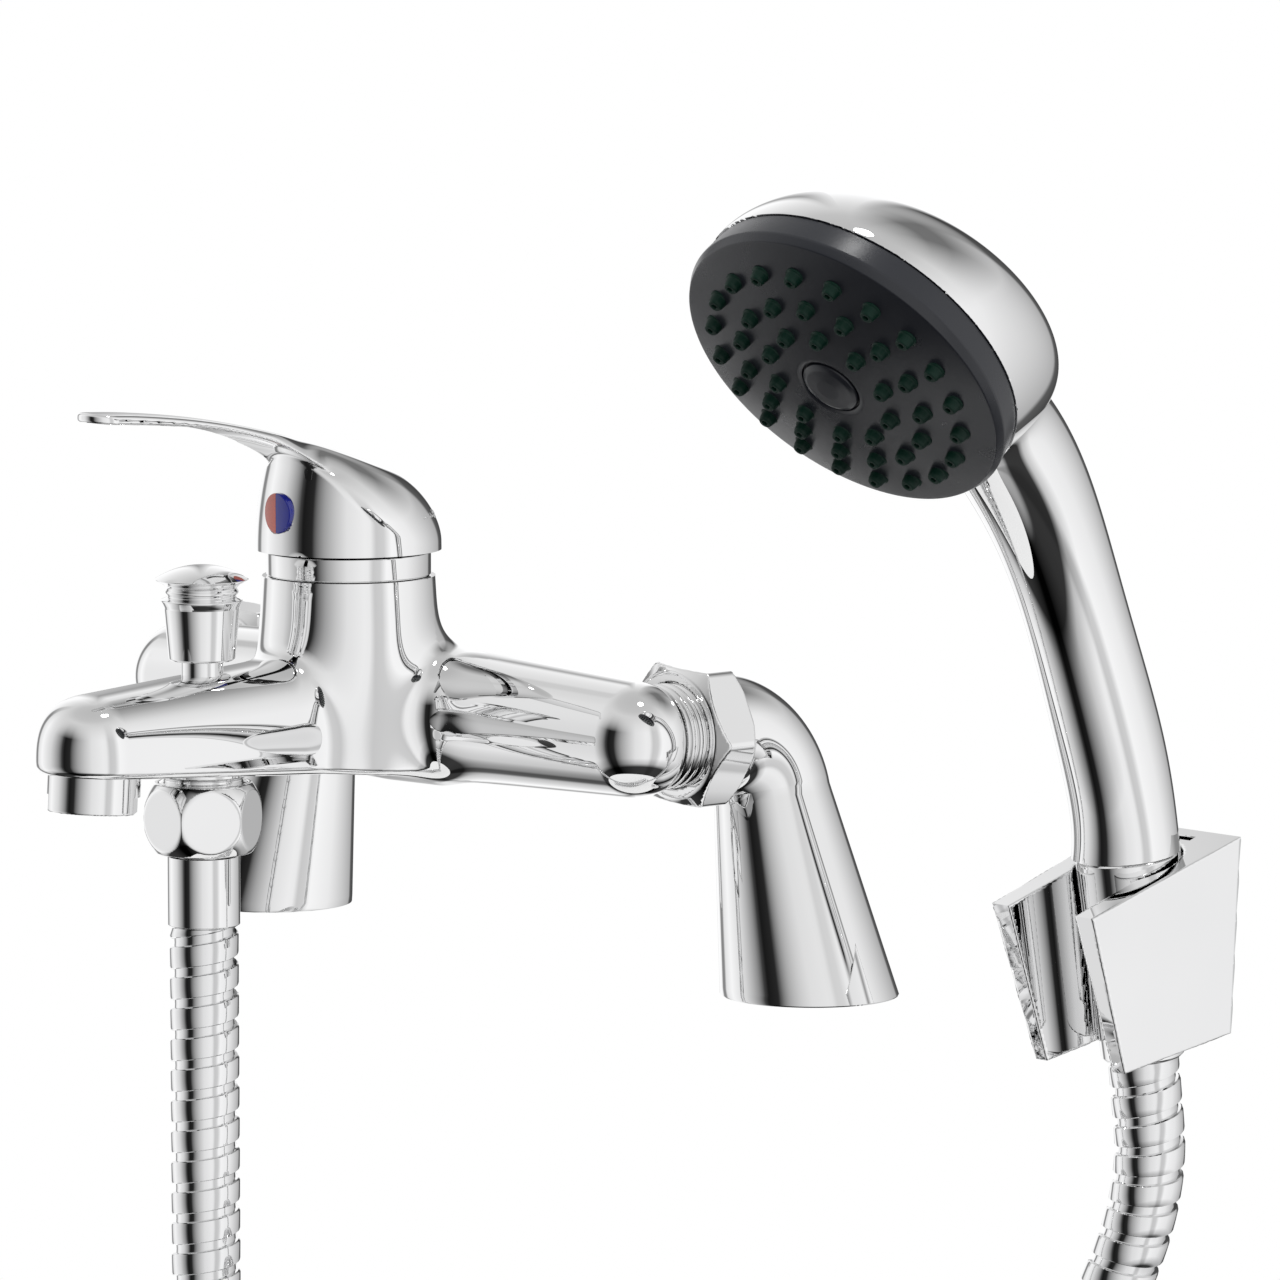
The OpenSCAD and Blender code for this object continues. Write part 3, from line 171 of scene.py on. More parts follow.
def make_world():
    world = bpy.data.worlds.new("studio")
    bpy.context.scene.world = world
    world.use_nodes = True
    t = world.node_tree
    t.nodes.clear()
    coord = t.nodes.new("ShaderNodeTexCoord")
    spin = t.nodes.new("ShaderNodeVectorRotate")
    spin.rotation_type = "Z_AXIS"
    spin.inputs["Angle"].default_value = math.radians(CAMERA_SIDE)
    t.links.new(coord.outputs["Generated"], spin.inputs["Vector"])
    axes = t.nodes.new("ShaderNodeSeparateXYZ")
    t.links.new(spin.outputs[0], axes.inputs[0])
    x, y, z = axes.outputs
    turn = math_node(t, "MULTIPLY_ADD", math_node(t, "ARCTAN2", y, x), 0.5 / math.pi, 0.5)
    lift = math_node(t, "MULTIPLY_ADD", z, 0.5, 0.5)

    def by_turn(stops):
        return [((w + 180) / 360, v) for w, v in stops]

    def by_lift(stops):
        return [((h + 1) / 2, v) for h, v in stops]

    walls = mix_node(t, range_node(t, z, *GAPS_END), grey_ramp(t, turn, by_turn(WALLS), WALL_BLUE), WHITE)
    room = mix_node(t, 1.0, walls, grey_ramp(t, lift, by_lift(HEIGHTS)), "MULTIPLY")
    panel = math_node(t, "MULTIPLY", grey_ramp(t, turn, by_turn(PANEL_TURN)),
                      grey_ramp(t, lift, by_lift(PANEL_HEIGHT)))
    studio = t.nodes.new("ShaderNodeBackground")
    feed(t, studio.inputs["Color"], mix_node(t, panel, room, PANEL_GREY))
    studio.inputs["Strength"].default_value = STUDIO
    white = t.nodes.new("ShaderNodeBackground")
    white.inputs["Color"].default_value = WHITE
    white.inputs["Strength"].default_value = 1.0
    path = t.nodes.new("ShaderNodeLightPath")
    out = t.nodes.new("ShaderNodeOutputWorld")
    shader_mix(t, path.outputs["Is Camera Ray"], studio.outputs[0], white.outputs[0], out.inputs[0])


def make_lamp(name, at, target, size, watts):
    data = bpy.data.lights.new(name, "AREA")
    data.shape = "ELLIPSE"
    data.size, data.size_y = size
    data.energy = watts
    lamp = bpy.data.objects.new(name, data)
    lamp.location = at
    lamp.visible_glossy = name == SEEN_IN_CHROME
    lamp.rotation_mode = "QUATERNION"
    lamp.rotation_quaternion = (Vector(target) - Vector(at)).to_track_quat("-Z", "Y")
    bpy.context.scene.collection.objects.link(lamp)


make_camera()
make_world()
for lamp in LAMPS:
    make_lamp(*lamp)


# Materials

# Part of the noise's range that is used
NOISE_LOW, NOISE_HIGH = 0.3, 0.7


def material(name):
    m = bpy.data.materials.new(name)
    m.use_nodes = True
    t = m.node_tree
    return m, t, t.nodes["Principled BSDF"]


def noise(t, scale, detail, rough=0.5):
    coord = t.nodes.new("ShaderNodeTexCoord")
    n = t.nodes.new("ShaderNodeTexNoise")
    for name, value in (("Scale", scale), ("Detail", detail), ("Roughness", rough)):
        n.inputs[name].default_value = value
    t.links.new(coord.outputs["Object"], n.inputs["Vector"])
    return n.outputs["Fac"]


def spread(t, source, low, high):
    return range_node(t, source, NOISE_LOW, NOISE_HIGH, low, high)


def tint(t, source, a, b):
    return mix_node(t, spread(t, source, 0, 1), (*a, 1), (*b, 1))


def bump(t, p, source, strength, distance):
    b = t.nodes.new("ShaderNodeBump")
    for name, value in (("Strength", strength), ("Distance", distance), ("Height", source)):
        feed(t, b.inputs[name], value)
    t.links.new(b.outputs[0], p.inputs["Normal"])


def plated(name, a, b, rough, wave=0.0):
    """Bright metal between two tints, with a very shallow wave if asked for."""
    m, t, p = material(name)
    p.inputs["Metallic"].default_value = 1.0
    t.links.new(tint(t, noise(t, 18, 3), a, b), p.inputs["Base Color"])
    t.links.new(spread(t, noise(t, 45, 4, 0.6), *rough), p.inputs["Roughness"])
    if wave:
        bump(t, p, noise(t, 60, 1), 0.25, wave)
    return m


def moulded(name, a, b, rough, grain=900, depth=0.00004):
    """Plastic, rubber or ceramic between two tints, with a fine grain."""
    m, t, p = material(name)
    t.links.new(tint(t, noise(t, 25, 3), a, b), p.inputs["Base Color"])
    t.links.new(spread(t, noise(t, 70, 3), *rough), p.inputs["Roughness"])
    bump(t, p, noise(t, grain, 3, 0.6), 0.35, depth)
    return m


CHROME_WAVE = 0.000004
CHROME = plated("chrome", (0.88, 0.88, 0.88), (0.85, 0.851, 0.852), (0.004, 0.016), CHROME_WAVE)
CHROME_ABS = plated("chrome_abs", (0.88, 0.88, 0.88), (0.85, 0.851, 0.853), (0.006, 0.02), CHROME_WAVE)
HOSE_METAL = plated("hose_metal", (0.86, 0.86, 0.862), (0.81, 0.812, 0.815), (0.02, 0.06))
BRASS = plated("brass", (0.72, 0.55, 0.27), (0.63, 0.47, 0.22), (0.18, 0.32))
STEEL = plated("steel", (0.6, 0.61, 0.63), (0.52, 0.53, 0.55), (0.2, 0.35))
FACE_PLASTIC = moulded("face_plastic", (0.0115, 0.0128, 0.0175), (0.0155, 0.017, 0.0225), (0.26, 0.33))
RUBBER_GREEN = moulded("rubber_green", (0.001, 0.020, 0.012), (0.0008, 0.015, 0.009), (0.42, 0.5), 500, 0.00003)
RUBBER_BLACK = moulded("rubber_black", (0.02, 0.02, 0.02), (0.03, 0.03, 0.03), (0.5, 0.65))
WHITE_PLASTIC = moulded("white_plastic", (0.78, 0.78, 0.75), (0.72, 0.72, 0.69), (0.35, 0.5))
CERAMIC = moulded("ceramic_discs", (0.86, 0.84, 0.8), (0.8, 0.79, 0.76), (0.12, 0.2), 600, 0.00001)
TIE_PLASTIC = moulded("tie_plastic", (0.012, 0.012, 0.012), (0.02, 0.02, 0.02), (0.4, 0.55))
RED = moulded("indicator_red_mat", (0.55, 0.11, 0.075), (0.47, 0.085, 0.06), (0.12, 0.2), 400, 0.00001)
BLUE = moulded("indicator_blue_mat", (0.012, 0.018, 0.26), (0.010, 0.014, 0.2), (0.12, 0.2), 400, 0.00001)
DARK = moulded("aerator_plastic", (0.05, 0.05, 0.055), (0.07, 0.07, 0.075), (0.4, 0.55))
for m, name, value in ((RUBBER_GREEN, "Specular IOR Level", 0.22),
                       (RED, "Coat Weight", 0.6), (RED, "Coat Roughness", 0.05),
                       (BLUE, "Coat Weight", 0.6), (BLUE, "Coat Roughness", 0.05)):
    m.node_tree.nodes["Principled BSDF"].inputs[name].default_value = value

SLOTS = {"chrome": CHROME, "chrome_plastic": CHROME_ABS, "brass": BRASS, "steel": STEEL,
         "white_plastic": WHITE_PLASTIC, "ceramic_white": CERAMIC, "seal_rubber": RUBBER_BLACK,
         "face_plastic": FACE_PLASTIC, "nozzle_rubber": RUBBER_GREEN, "red_plastic": RED,
         "blue_plastic": BLUE, "tie_plastic": TIE_PLASTIC}
for sub in frame["record"]["subparts"]:
    o = nodes[sub["node"]]
    o.data.materials.clear()
    o.data.materials.append(SLOTS[sub["material_slot"]])
nodes["aerator_insert"].data.materials[0] = DARK


# Mesh building: everything is in millimetres until it becomes a mesh. A field is negative inside its piece
# and close to a distance: factors just under 1 in it take out the slope of a cone or a spline

def mesh_object(name, verts, faces, mat, normals=None, sharp=None):
    me = bpy.data.meshes.new(name)
    verts = np.asarray(verts, float) / 1000
    me.from_pydata(verts.tolist(), [], [list(map(int, f)) for f in faces])
    me.materials.append(mat)
    me.shade_smooth()
    if sharp is not None:
        me.set_sharp_from_angle(angle=math.radians(sharp))
    if normals is not None:
        me.normals_split_custom_set(np.asarray(normals, float).reshape(-1, 3).tolist())
    o = bpy.data.objects.new(name, me)
    bpy.context.scene.collection.objects.link(o)
    return o


def piece(name, verts, faces, body, mat, slot, replaced=(), normals=None, sharp=None):
    o = mesh_object(name, verts, faces, mat, normals, sharp)
    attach(o, body)
    if replaced:
        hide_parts(*replaced)
    return o


def smin(a, b, k):
    """Smaller of two fields, blended over k."""
    h = np.maximum(k - np.abs(a - b), 0) / k
    return np.minimum(a, b) - h ** 3 * k / 6


def rmax(a, b, r):
    """Larger of two fields, with an edge rounded to r."""
    return np.minimum(np.maximum(a, b), -r) + np.hypot(np.maximum(a + r, 0), np.maximum(b + r, 0))


def poly_sd(px, py, pts):
    """Signed distance to a polygon."""
    pts = np.asarray(pts, float)
    d = np.full(px.shape, 1e18)
    odd = np.zeros(px.shape, bool)
    for (ax, ay), (bx, by) in zip(pts, np.roll(pts, -1, 0)):
        ex, ey = bx - ax, by - ay
        wx, wy = px - ax, py - ay
        k = np.clip((wx * ex + wy * ey) / (ex * ex + ey * ey), 0, 1)
        d = np.minimum(d, (wx - k * ex) ** 2 + (wy - k * ey) ** 2)
        if ay != by:
            odd ^= ((ay > py) != (by > py)) & (px < ex * (py - ay) / (by - ay) + ax)
    return np.where(odd, -1, 1) * np.sqrt(d)


def spline(xs, ys):
    """Natural cubic through the points, as a function."""
    xs, ys = np.asarray(xs, float), np.asarray(ys, float)
    h, n = np.diff(xs), len(xs)
    a, r = np.eye(n), np.zeros(n)
    for i in range(1, n - 1):
        a[i, i - 1:i + 2] = h[i - 1], 2 * (h[i - 1] + h[i]), h[i]
        r[i] = 6 * ((ys[i + 1] - ys[i]) / h[i] - (ys[i] - ys[i - 1]) / h[i - 1])
    m = np.linalg.solve(a, r)

    def at(x):
        i = np.clip(np.searchsorted(xs, x) - 1, 0, n - 2)
        t = x - xs[i]
        b = (ys[i + 1] - ys[i]) / h[i] - h[i] * (2 * m[i] + m[i + 1]) / 6
        return ys[i] + t * (b + t * (m[i] / 2 + t * (m[i + 1] - m[i]) / (6 * h[i])))
    return at


def step(a, b, x):
    """Smooth step from 0 at a to 1 at b."""
    t = np.clip((x - a) / (b - a), 0, 1)
    return t * t * (3 - 2 * t)


# Numbers of the surface finder: cells in a block, reach of a block in cells, pull to the middle of a
# cell, evenness of normals under which a corner is crisp, longest move in cells, inset of a crisp corner
BLOCK, REACH, PULL, CRISP, MOVE, INSET = 4, 5.2, 0.03, 0.93, 0.6, 0.3
GRAD_STEP = 0.01


def field_mesh(f, lo, hi, h):
    """Quads on the zero surface of f with crisp edges kept, and a normal for each corner."""
    lo = np.asarray(lo, float)
    blocks = np.ceil((np.asarray(hi, float) - lo) / (BLOCK * h)).astype(int)
    n = BLOCK * blocks
    mid = f(*np.meshgrid(*[lo[i] + BLOCK * h * (np.arange(blocks[i]) + 0.5) for i in range(3)], indexing="ij"))

    def fill(a):
        return a.repeat(BLOCK, 0).repeat(BLOCK, 1).repeat(BLOCK, 2)

    # f is asked only near the surface; elsewhere its sign is that of the block's middle
    cells = fill(np.abs(mid) < REACH * h)
    v = np.pad(fill(np.where(mid < 0, -1e3, 1e3)), ((0, 1),) * 3, mode="edge")
    use = np.zeros(n + 1, bool)
    for i in (0, 1):
        for j in (0, 1):
            for k in (0, 1):
                use[i:i + n[0], j:j + n[1], k:k + n[2]] |= cells
    at = np.nonzero(use)
    v[at] = f(*[lo[i] + h * at[i] for i in range(3)])
    neg = v < 0

    def grad(p):
        g = np.empty_like(p)
        for q in range(3):
            d = np.zeros(3)
            d[q] = GRAD_STEP
            g[:, q] = (f(*(p + d).T) - f(*(p - d).T)) / (2 * GRAD_STEP)
        return g

    def unit(g):
        return g / np.maximum(np.linalg.norm(g, axis=-1, keepdims=True), 1e-9)

    # each grid edge that the surface crosses gives a point and a quad of the four cells round it
    points, quads, flips = [], [], []
    for ax in range(3):
        u, w = (ax + 1) % 3, (ax + 2) % 3
        a = [slice(None)] * 3
        b = [slice(None)] * 3
        a[ax], b[ax] = slice(0, -1), slice(1, None)
        e = np.stack(np.nonzero(neg[tuple(a)] != neg[tuple(b)]), 1)
        e = e[(e[:, u] > 0) & (e[:, u] < n[u]) & (e[:, w] > 0) & (e[:, w] < n[w])]
        axis = np.eye(3, dtype=int)[ax]
        fa, fb = v[tuple(e.T)], v[tuple((e + axis).T)]
        inside = fa < 0
        ta, tb = np.zeros(len(e)), np.ones(len(e))
        t = fa / (fa - fb)
        for _ in range(3):
            ft = f(*(lo + h * (e + t[:, None] * axis)).T)
            same = (ft < 0) == inside
            ta, fa = np.where(same, t, ta), np.where(same, ft, fa)
            tb, fb = np.where(same, tb, t), np.where(same, fb, ft)
            t = np.clip(ta + (tb - ta) * fa / np.where(fa == fb, 1, fa - fb), 0, 1)
        points.append(lo + h * (e + t[:, None] * axis))
        four = []
        for du, dw in ((1, 1), (0, 1), (0, 0), (1, 0)):
            c = e.copy()
            c[:, u] -= du
            c[:, w] -= dw
            four.append((c[:, 0] * n[1] + c[:, 1]) * n[2] + c[:, 2])
        quads.append(np.stack(four, 1))
        flips.append(~inside)
    points, quads, flips = np.vstack(points), np.vstack(quads), np.concatenate(flips)
    quads[flips] = quads[flips][:, ::-1]
    normal = unit(grad(points))
    ids, inv = np.unique(quads, return_inverse=True)
    faces = inv.reshape(quads.shape)
    m = len(ids)
    who = faces.ravel()

    def add(x):
        return np.bincount(who, np.repeat(x, 4), m)

    # each cell's vertex lies nearest to the planes of its points
    count = add(np.ones(len(points)))
    mass = np.stack([add(points[:, i]) for i in range(3)], 1) / count[:, None]
    total = np.stack([add(normal[:, i]) for i in range(3)], 1)
    side = (normal * points).sum(1)
    ata = np.empty((m, 3, 3))
    for i in range(3):
        for j in range(i, 3):
            ata[:, i, j] = ata[:, j, i] = add(normal[:, i] * normal[:, j])
    atb = np.stack([add(normal[:, i] * side) for i in range(3)], 1)
    rhs = atb - (ata @ mass[:, :, None])[:, :, 0]
    p = mass + np.linalg.solve(ata + (PULL * count)[:, None, None] * np.eye(3), rhs[:, :, None])[:, :, 0]
    cell = lo + h * np.stack([ids // (n[1] * n[2]), ids // n[2] % n[1], ids % n[2]], 1)
    p = np.clip(p, cell - 0.02 * h, cell + 1.02 * h)
    crisp = np.linalg.norm(total, axis=1) / count < CRISP

    def settle(p):
        for _ in range(2):
            g = grad(p)
            go = (f(*p.T) / np.maximum((g * g).sum(1), 0.05))[:, None] * g
            size = np.linalg.norm(go, axis=1, keepdims=True)
            p = p - np.where(crisp[:, None], 0, go * np.minimum(1, MOVE * h / np.maximum(size, 1e-9)))
        return p

    # smooth vertices move halfway to their neighbours' middle and back onto the surface
    p = settle(p)
    pairs = np.vstack([faces[:, [i, (i + 1) % 4]] for i in range(4)])
    near = np.stack([np.bincount(pairs[:, 0], p[pairs[:, 1], i], m) for i in range(3)], 1)
    near /= np.maximum(np.bincount(pairs[:, 0], minlength=m), 1)[:, None]
    p = settle(np.where(crisp[:, None], p, 0.5 * p + 0.5 * near))
    corner = unit(grad(p))[faces]
    edge = crisp[faces]
    if edge.any():
        inset = p[faces] + INSET * (p[faces].mean(1)[:, None] - p[faces])
        corner[edge] = unit(grad(inset[edge]))
    return p, faces, corner


def lathe(profile, n):
    """Turned surface about Z from [r, z] points."""
    prof = np.asarray(profile, float)
    m = len(prof)
    a = np.linspace(0, 2 * np.pi, n, endpoint=False)
    v = np.empty((m, n, 3))
    v[..., 0] = prof[:, :1] * np.cos(a)
    v[..., 1] = prof[:, :1] * np.sin(a)
    v[..., 2] = prof[:, 1:]
    f = []
    for p in range(m - 1):
        q = p + 1
        for j in range(n):
            k = (j + 1) % n
            if prof[p, 0] < 1e-9:
                f.append([p * n, q * n + k, q * n + j])
            elif prof[q, 0] < 1e-9:
                f.append([p * n + j, p * n + k, q * n])
            else:
                f.append([p * n + j, p * n + k, q * n + k, q * n + j])
    v = v.reshape(-1, 3)
    used = np.zeros(len(v), bool)
    for q in f:
        used[q] = True
    new = np.cumsum(used) - 1
    return v[used], [[new[i] for i in q] for q in f]


def rounded(points, n=6):
    """[r, z, fillet] corners to a line with round corners."""
    pts = np.asarray([p[:2] for p in points], float)
    rad = [p[2] if len(p) > 2 else 0 for p in points]
    out = []
    for i, p in enumerate(pts):
        if rad[i] <= 0 or i in (0, len(pts) - 1):
            out.append(p)
            continue
        a, b = pts[i - 1] - p, pts[i + 1] - p
        la, lb = np.linalg.norm(a), np.linalg.norm(b)
        a, b = a / la, b / lb
        half = math.acos(np.clip(a @ b, -1, 1)) / 2
        t = min(rad[i] / math.tan(half), 0.48 * la, 0.48 * lb)
        r = t * math.tan(half)
        c = p + (a + b) / np.linalg.norm(a + b) * math.hypot(r, t)
        s, e = p + a * t - c, p + b * t - c
        w = math.atan2(s[0] * e[1] - s[1] * e[0], s @ e)
        for k in range(n + 1):
            cos, sin = math.cos(w * k / n), math.sin(w * k / n)
            out.append(c + np.array([s[0] * cos - s[1] * sin, s[0] * sin + s[1] * cos]))
    return np.array(out)


def rot_x(a):
    c, s = math.cos(a), math.sin(a)
    return np.array([[1, 0, 0], [0, c, -s], [0, s, c]])


def rot_y(a):
    c, s = math.cos(a), math.sin(a)
    return np.array([[c, 0, s], [0, 1, 0], [-s, 0, c]])


def rot_z(a):
    c, s = math.cos(a), math.sin(a)
    return np.array([[c, -s, 0], [s, c, 0], [0, 0, 1]])


def placed(v, at, turn=None):
    v = np.asarray(v, float)
    return (v if turn is None else v @ np.asarray(turn).T) + np.asarray(at, float)


ALONG_Y = np.array([[1, 0, 0], [0, 0, 1], [0, -1, 0]], float)
LEAN = rot_x(TILT)
TURN = LEAN @ rot_z(HAND_TURN) @ LEAN.T
FACE = GRIP + TURN @ HEAD_AT
HEAD = TURN @ rot_x(HEAD_TURN)


def turned(name, profile, at, turn, body, mat, slot, replaced=(), n=96, sharp=35):
    v, f = lathe(profile, n)
    piece(name, placed(v, at, turn), f, body, mat, slot, replaced, sharp=sharp)


def thread(start, stop, r, depth, pitch):
    """Rings of a thread as an [r, z] line."""
    t = np.linspace(start, stop, int((stop - start) / pitch * 14) + 1)
    wave = np.clip(0.5 - 0.62 * np.cos(2 * np.pi * (t - start) / pitch), 0, 1)
    return [(r - depth + depth * w, q) for w, q in zip(wave, t)]


# Hose first: straight tail, tied coil and S-bend, as the solids have it

# One turn of the strip as (part of the turn, radius): a rolled band with round shoulders, then a narrow
# groove down to the inner strip
STRIP = [(0.0, 6.5), (0.015, 7.1), (0.04, 7.38), (0.09, HOSE_R), (0.36, HOSE_R), (0.63, HOSE_R), (0.69, 7.38),
         (0.725, 7.1), (0.74, 6.5), (0.87, 6.45)]
STRIP_PITCH, STRIP_SIDES = 6.67, 32
# The hose's ends are drawn in to this radius over this length, to pass into ferrule and nut
END_R, END_LENGTH = 6.9, 0.6
# Slope from which a face of the strip is a wall and not a shoulder
STEEP = 0.9
# The run to the handset follows it: rise of the blend's direction in the coil's plane, its start and end
BLEND_RISE, BLEND_FROM, BLEND_TO = np.radians(50), 19.0, 112.0
# Tie: straight length and half height of its middle line, half thickness and half width of the strap
TIE_SPAN, TIE_HALF, TIE_THICK, TIE_WIDE = 33.0, 8.0, 0.8, 6
LOCK_HALF, LOCK_ASIDE, LOCK_UP = (7.2, 4, 1.3), 6, 2.1


def hose_path():
    """The hose's middle line, with the level direction in the coil's plane and the coil's axis."""
    start = np.array([0, DIV_Y])
    down = np.array([0, math.sin(TILT), -math.cos(TILT)])
    end = GRIP + CONE_LENGTH * down
    low = end + 2 * HOSE_R * down
    reach = low[:2] - start
    w = math.atan2(reach[1], reach[0]) - math.atan2(COIL_TURNS * COIL_PITCH, 2 * COIL_R)
    u, n = np.array([math.cos(w), math.sin(w), 0]), np.array([-math.sin(w), math.cos(w), 0])
    c = np.array([0, DIV_Y, COIL_Z]) + COIL_R * u
    tail = np.stack([np.zeros(80), np.full(80, DIV_Y), np.linspace(HOSE_TOP, COIL_Z, 80, endpoint=False)], 1)
    a = np.linspace(0, 2 * np.pi * COIL_TURNS, 900, endpoint=False)[:, None]
    coil = c - COIL_R * np.cos(a) * u - COIL_R * np.sin(a) * UP + n * COIL_PITCH * a / (2 * np.pi)
    q = c + COIL_R * u + n * COIL_PITCH * COIL_TURNS
    span = np.linalg.norm(low - q)
    t = np.linspace(0, 1, 90, endpoint=False)[:, None]
    bend = (q * (2 * t ** 3 - 3 * t ** 2 + 1) + low * (3 * t ** 2 - 2 * t ** 3)
            + UP * span * (t ** 3 - 2 * t ** 2 + t) - down * span * (t ** 3 - t ** 2))
    straight = low + (end - low) * np.linspace(0, 1, 12)[:, None]
    return np.vstack([tail, coil, bend, straight]), u, n


def make_hose():
    line, u, n = hose_path()
    s = np.concatenate([[0], np.cumsum(np.linalg.norm(np.diff(line, axis=0), axis=1))])
    # a frame that follows the line: t along it, a and b across
    fine = np.linspace(0, s[-1], int(s[-1]) + 1)
    p = np.stack([np.interp(fine, s, line[:, i]) for i in range(3)], 1)
    t = np.gradient(p, fine, axis=0)
    t = np.stack([np.convolve(np.pad(t[:, i], 3, mode="edge"), np.ones(7) / 7, "valid") for i in range(3)], 1)
    t /= np.linalg.norm(t, axis=1, keepdims=True)
    a = n - t * (t @ n)[:, None]
    a /= np.linalg.norm(a, axis=1, keepdims=True)
    b = np.cross(t, a)
    # the strip's rings climb by one pitch a turn
    per = len(STRIP)
    turns = int(s[-1] / STRIP_PITCH) + 5
    th = np.linspace(0, 2 * np.pi, STRIP_SIDES, endpoint=False)
    ring_at = np.array([STRIP_PITCH * (w + q) for w in range(-2, turns - 2) for q, _ in STRIP])
    along = ring_at[:, None] + STRIP_PITCH * th[None, :] / (2 * np.pi)
    r = np.tile([d for _, d in STRIP], turns)[:, None] + 0 * along
    ends = np.minimum(along, s[-1] - along)
    r = np.where(ends < END_LENGTH, np.minimum(r, END_R), r)
    at = np.clip(along, 0, s[-1])

    def on(q):
        return np.stack([np.interp(at, fine, q[:, i]) for i in range(3)], -1)

    out = np.cos(th)[None, :, None] * on(a) + np.sin(th)[None, :, None] * on(b)
    v = on(p) + r[..., None] * out
    i = np.arange(turns * per - 1 - per)[:, None]
    j = np.arange(STRIP_SIDES)[None, :]
    q = np.where(j == STRIP_SIDES - 1, (i + per) * STRIP_SIDES, i * STRIP_SIDES + j + 1)
    f = np.stack([i * STRIP_SIDES + j, q, q + STRIP_SIDES, (i + 1) * STRIP_SIDES + j], -1).reshape(-1, 4)
    f = f[ends.reshape(-1)[f].max(1) > 0]
    # the band shines as a true cylinder: each corner looks straight out, leaning only on the shoulders
    turn = [(STRIP_PITCH * q, d) for q, d in STRIP] + [(STRIP_PITCH, STRIP[0][1])]
    lean = np.array([-(d1 - d0) / (q1 - q0) for (q0, d0), (q1, d1) in zip(turn[:-1], turn[1:])])
    soft = np.where(np.abs(lean) > STEEP, 0, lean)
    soft = (soft + np.roll(soft, 1)) / 2
    ring = f // STRIP_SIDES % per
    strip = ring[:, :1]
    tilt = np.where(np.abs(lean[strip]) > STEEP, lean[strip], soft[ring])
    shine = out.reshape(-1, 3)[f] + tilt[..., None] * on(t).reshape(-1, 3)[f]
    shine /= np.linalg.norm(shine, axis=2, keepdims=True)
    used, f = np.unique(f, return_inverse=True)
    o = mesh_object("hose", v.reshape(-1, 3)[used], f.reshape(-1, 4), HOSE_METAL, shine)
    rise = u * np.cos(BLEND_RISE) + UP * np.sin(BLEND_RISE)
    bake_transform(o)
    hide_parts("hose_mixer_run", "hose_coil", "hose_handset_run")
    return o, line, u, n


def make_tie(u, n):
    """A flat strap round the coil's lowest strands, with its lock."""
    mid = np.array([0, DIV_Y, COIL_Z]) + COIL_R * u - COIL_R * UP + 1.25 * COIL_PITCH * n
    path = []
    for s in (1, -1):
        for w in np.radians(np.linspace(-90, 90, 17)):
            c, d = s * math.cos(w), s * math.sin(w)
            path.append((s * TIE_SPAN / 2 + (TIE_HALF + TIE_THICK) * c, (TIE_HALF + TIE_THICK) * d, c, d))
    sec = rounded([(TIE_WIDE, 0), (TIE_WIDE, TIE_THICK, 0.3), (-TIE_WIDE, TIE_THICK, 0.3),
                   (-TIE_WIDE, -TIE_THICK, 0.3), (TIE_WIDE, -TIE_THICK, 0.3), (TIE_WIDE, 0)], 3)[:-1]
    v = [mid + (x + nx * sr) * n + UP * (z + nz * sr) + u * sx for x, z, nx, nz in path for sx, sr in sec]
    f, m, ribs = [], len(path), len(sec)
    for i in range(m):
        for j in range(ribs):
            p, q = (i + 1) % m, (j + 1) % ribs
            f.append([i * ribs + j, i * ribs + q, p * ribs + q, p * ribs + j])
    strap = piece("hose_tie_strap", v, f, "mixer", TIE_PLASTIC, "tie_plastic", ("hose_tie",), sharp=40)

    def box(x, y, z):
        return rmax(rmax(np.abs(x) - LOCK_HALF[0], np.abs(y) - LOCK_HALF[1], 0.8), np.abs(z) - LOCK_HALF[2], 0.6)

    p, q, g = field_mesh(box, (-8, -5, -2), (8, 5, 2), 0.5)
    turn = np.stack([u, n, UP], 1)
    at = mid - n * LOCK_ASIDE + UP * (TIE_HALF + LOCK_UP)
    lock = piece("hose_tie_lock", placed(p, at, turn), q, "mixer", TIE_PLASTIC, "tie_plastic", normals=g @ turn.T)
    return strap, lock


hose, hose_line, hose_u, hose_n = make_hose()
tie, tie_lock = make_tie(hose_u, hose_n)
hose_points = [[float(x) / 1000 for x in p] for p in hose_line[::4]] + [[float(x) / 1000 for x in hose_line[-1]]]


# Mixer casting: spout, column and arms flow into each other

COL_R, COL_TAPER = 18.8, 0.0574
SPOUT_TIP_R, SPOUT_ROOT_R, SPOUT_TOP, SPOUT_CLIMB, SPOUT_POWER = 12.5, 15.5, 66.4, 5.3, 2.6
# Mean half width and height of the spout, and the rounding of its lower edge
SPOUT_WIDE, SPOUT_TALL, SPOUT_LIP = 13.5, 19.0, 2.0
ARM_R, ARM_TAPER, ARM_BALL_R = 14.9, 2.6, 12.3
SPOUT_BLEND, ARM_BLEND = 8.0, 13.0
BODY_LOW = 44.0
# Room for the union nut and the neck inside it: radius, then the span along Y
NUT_ROOM_R, NUT_ROOM_Y = 17.6, -26.0
NECK_R, NECK_FROM, NECK_TO = 10.0, -36.0, -20.0


def spout_under(y):
    return SPOUT_TIP_Z + (SPOUT_ROOT_Z - SPOUT_TIP_Z) * (y - OUT_Y) / (COL_Y - OUT_Y)


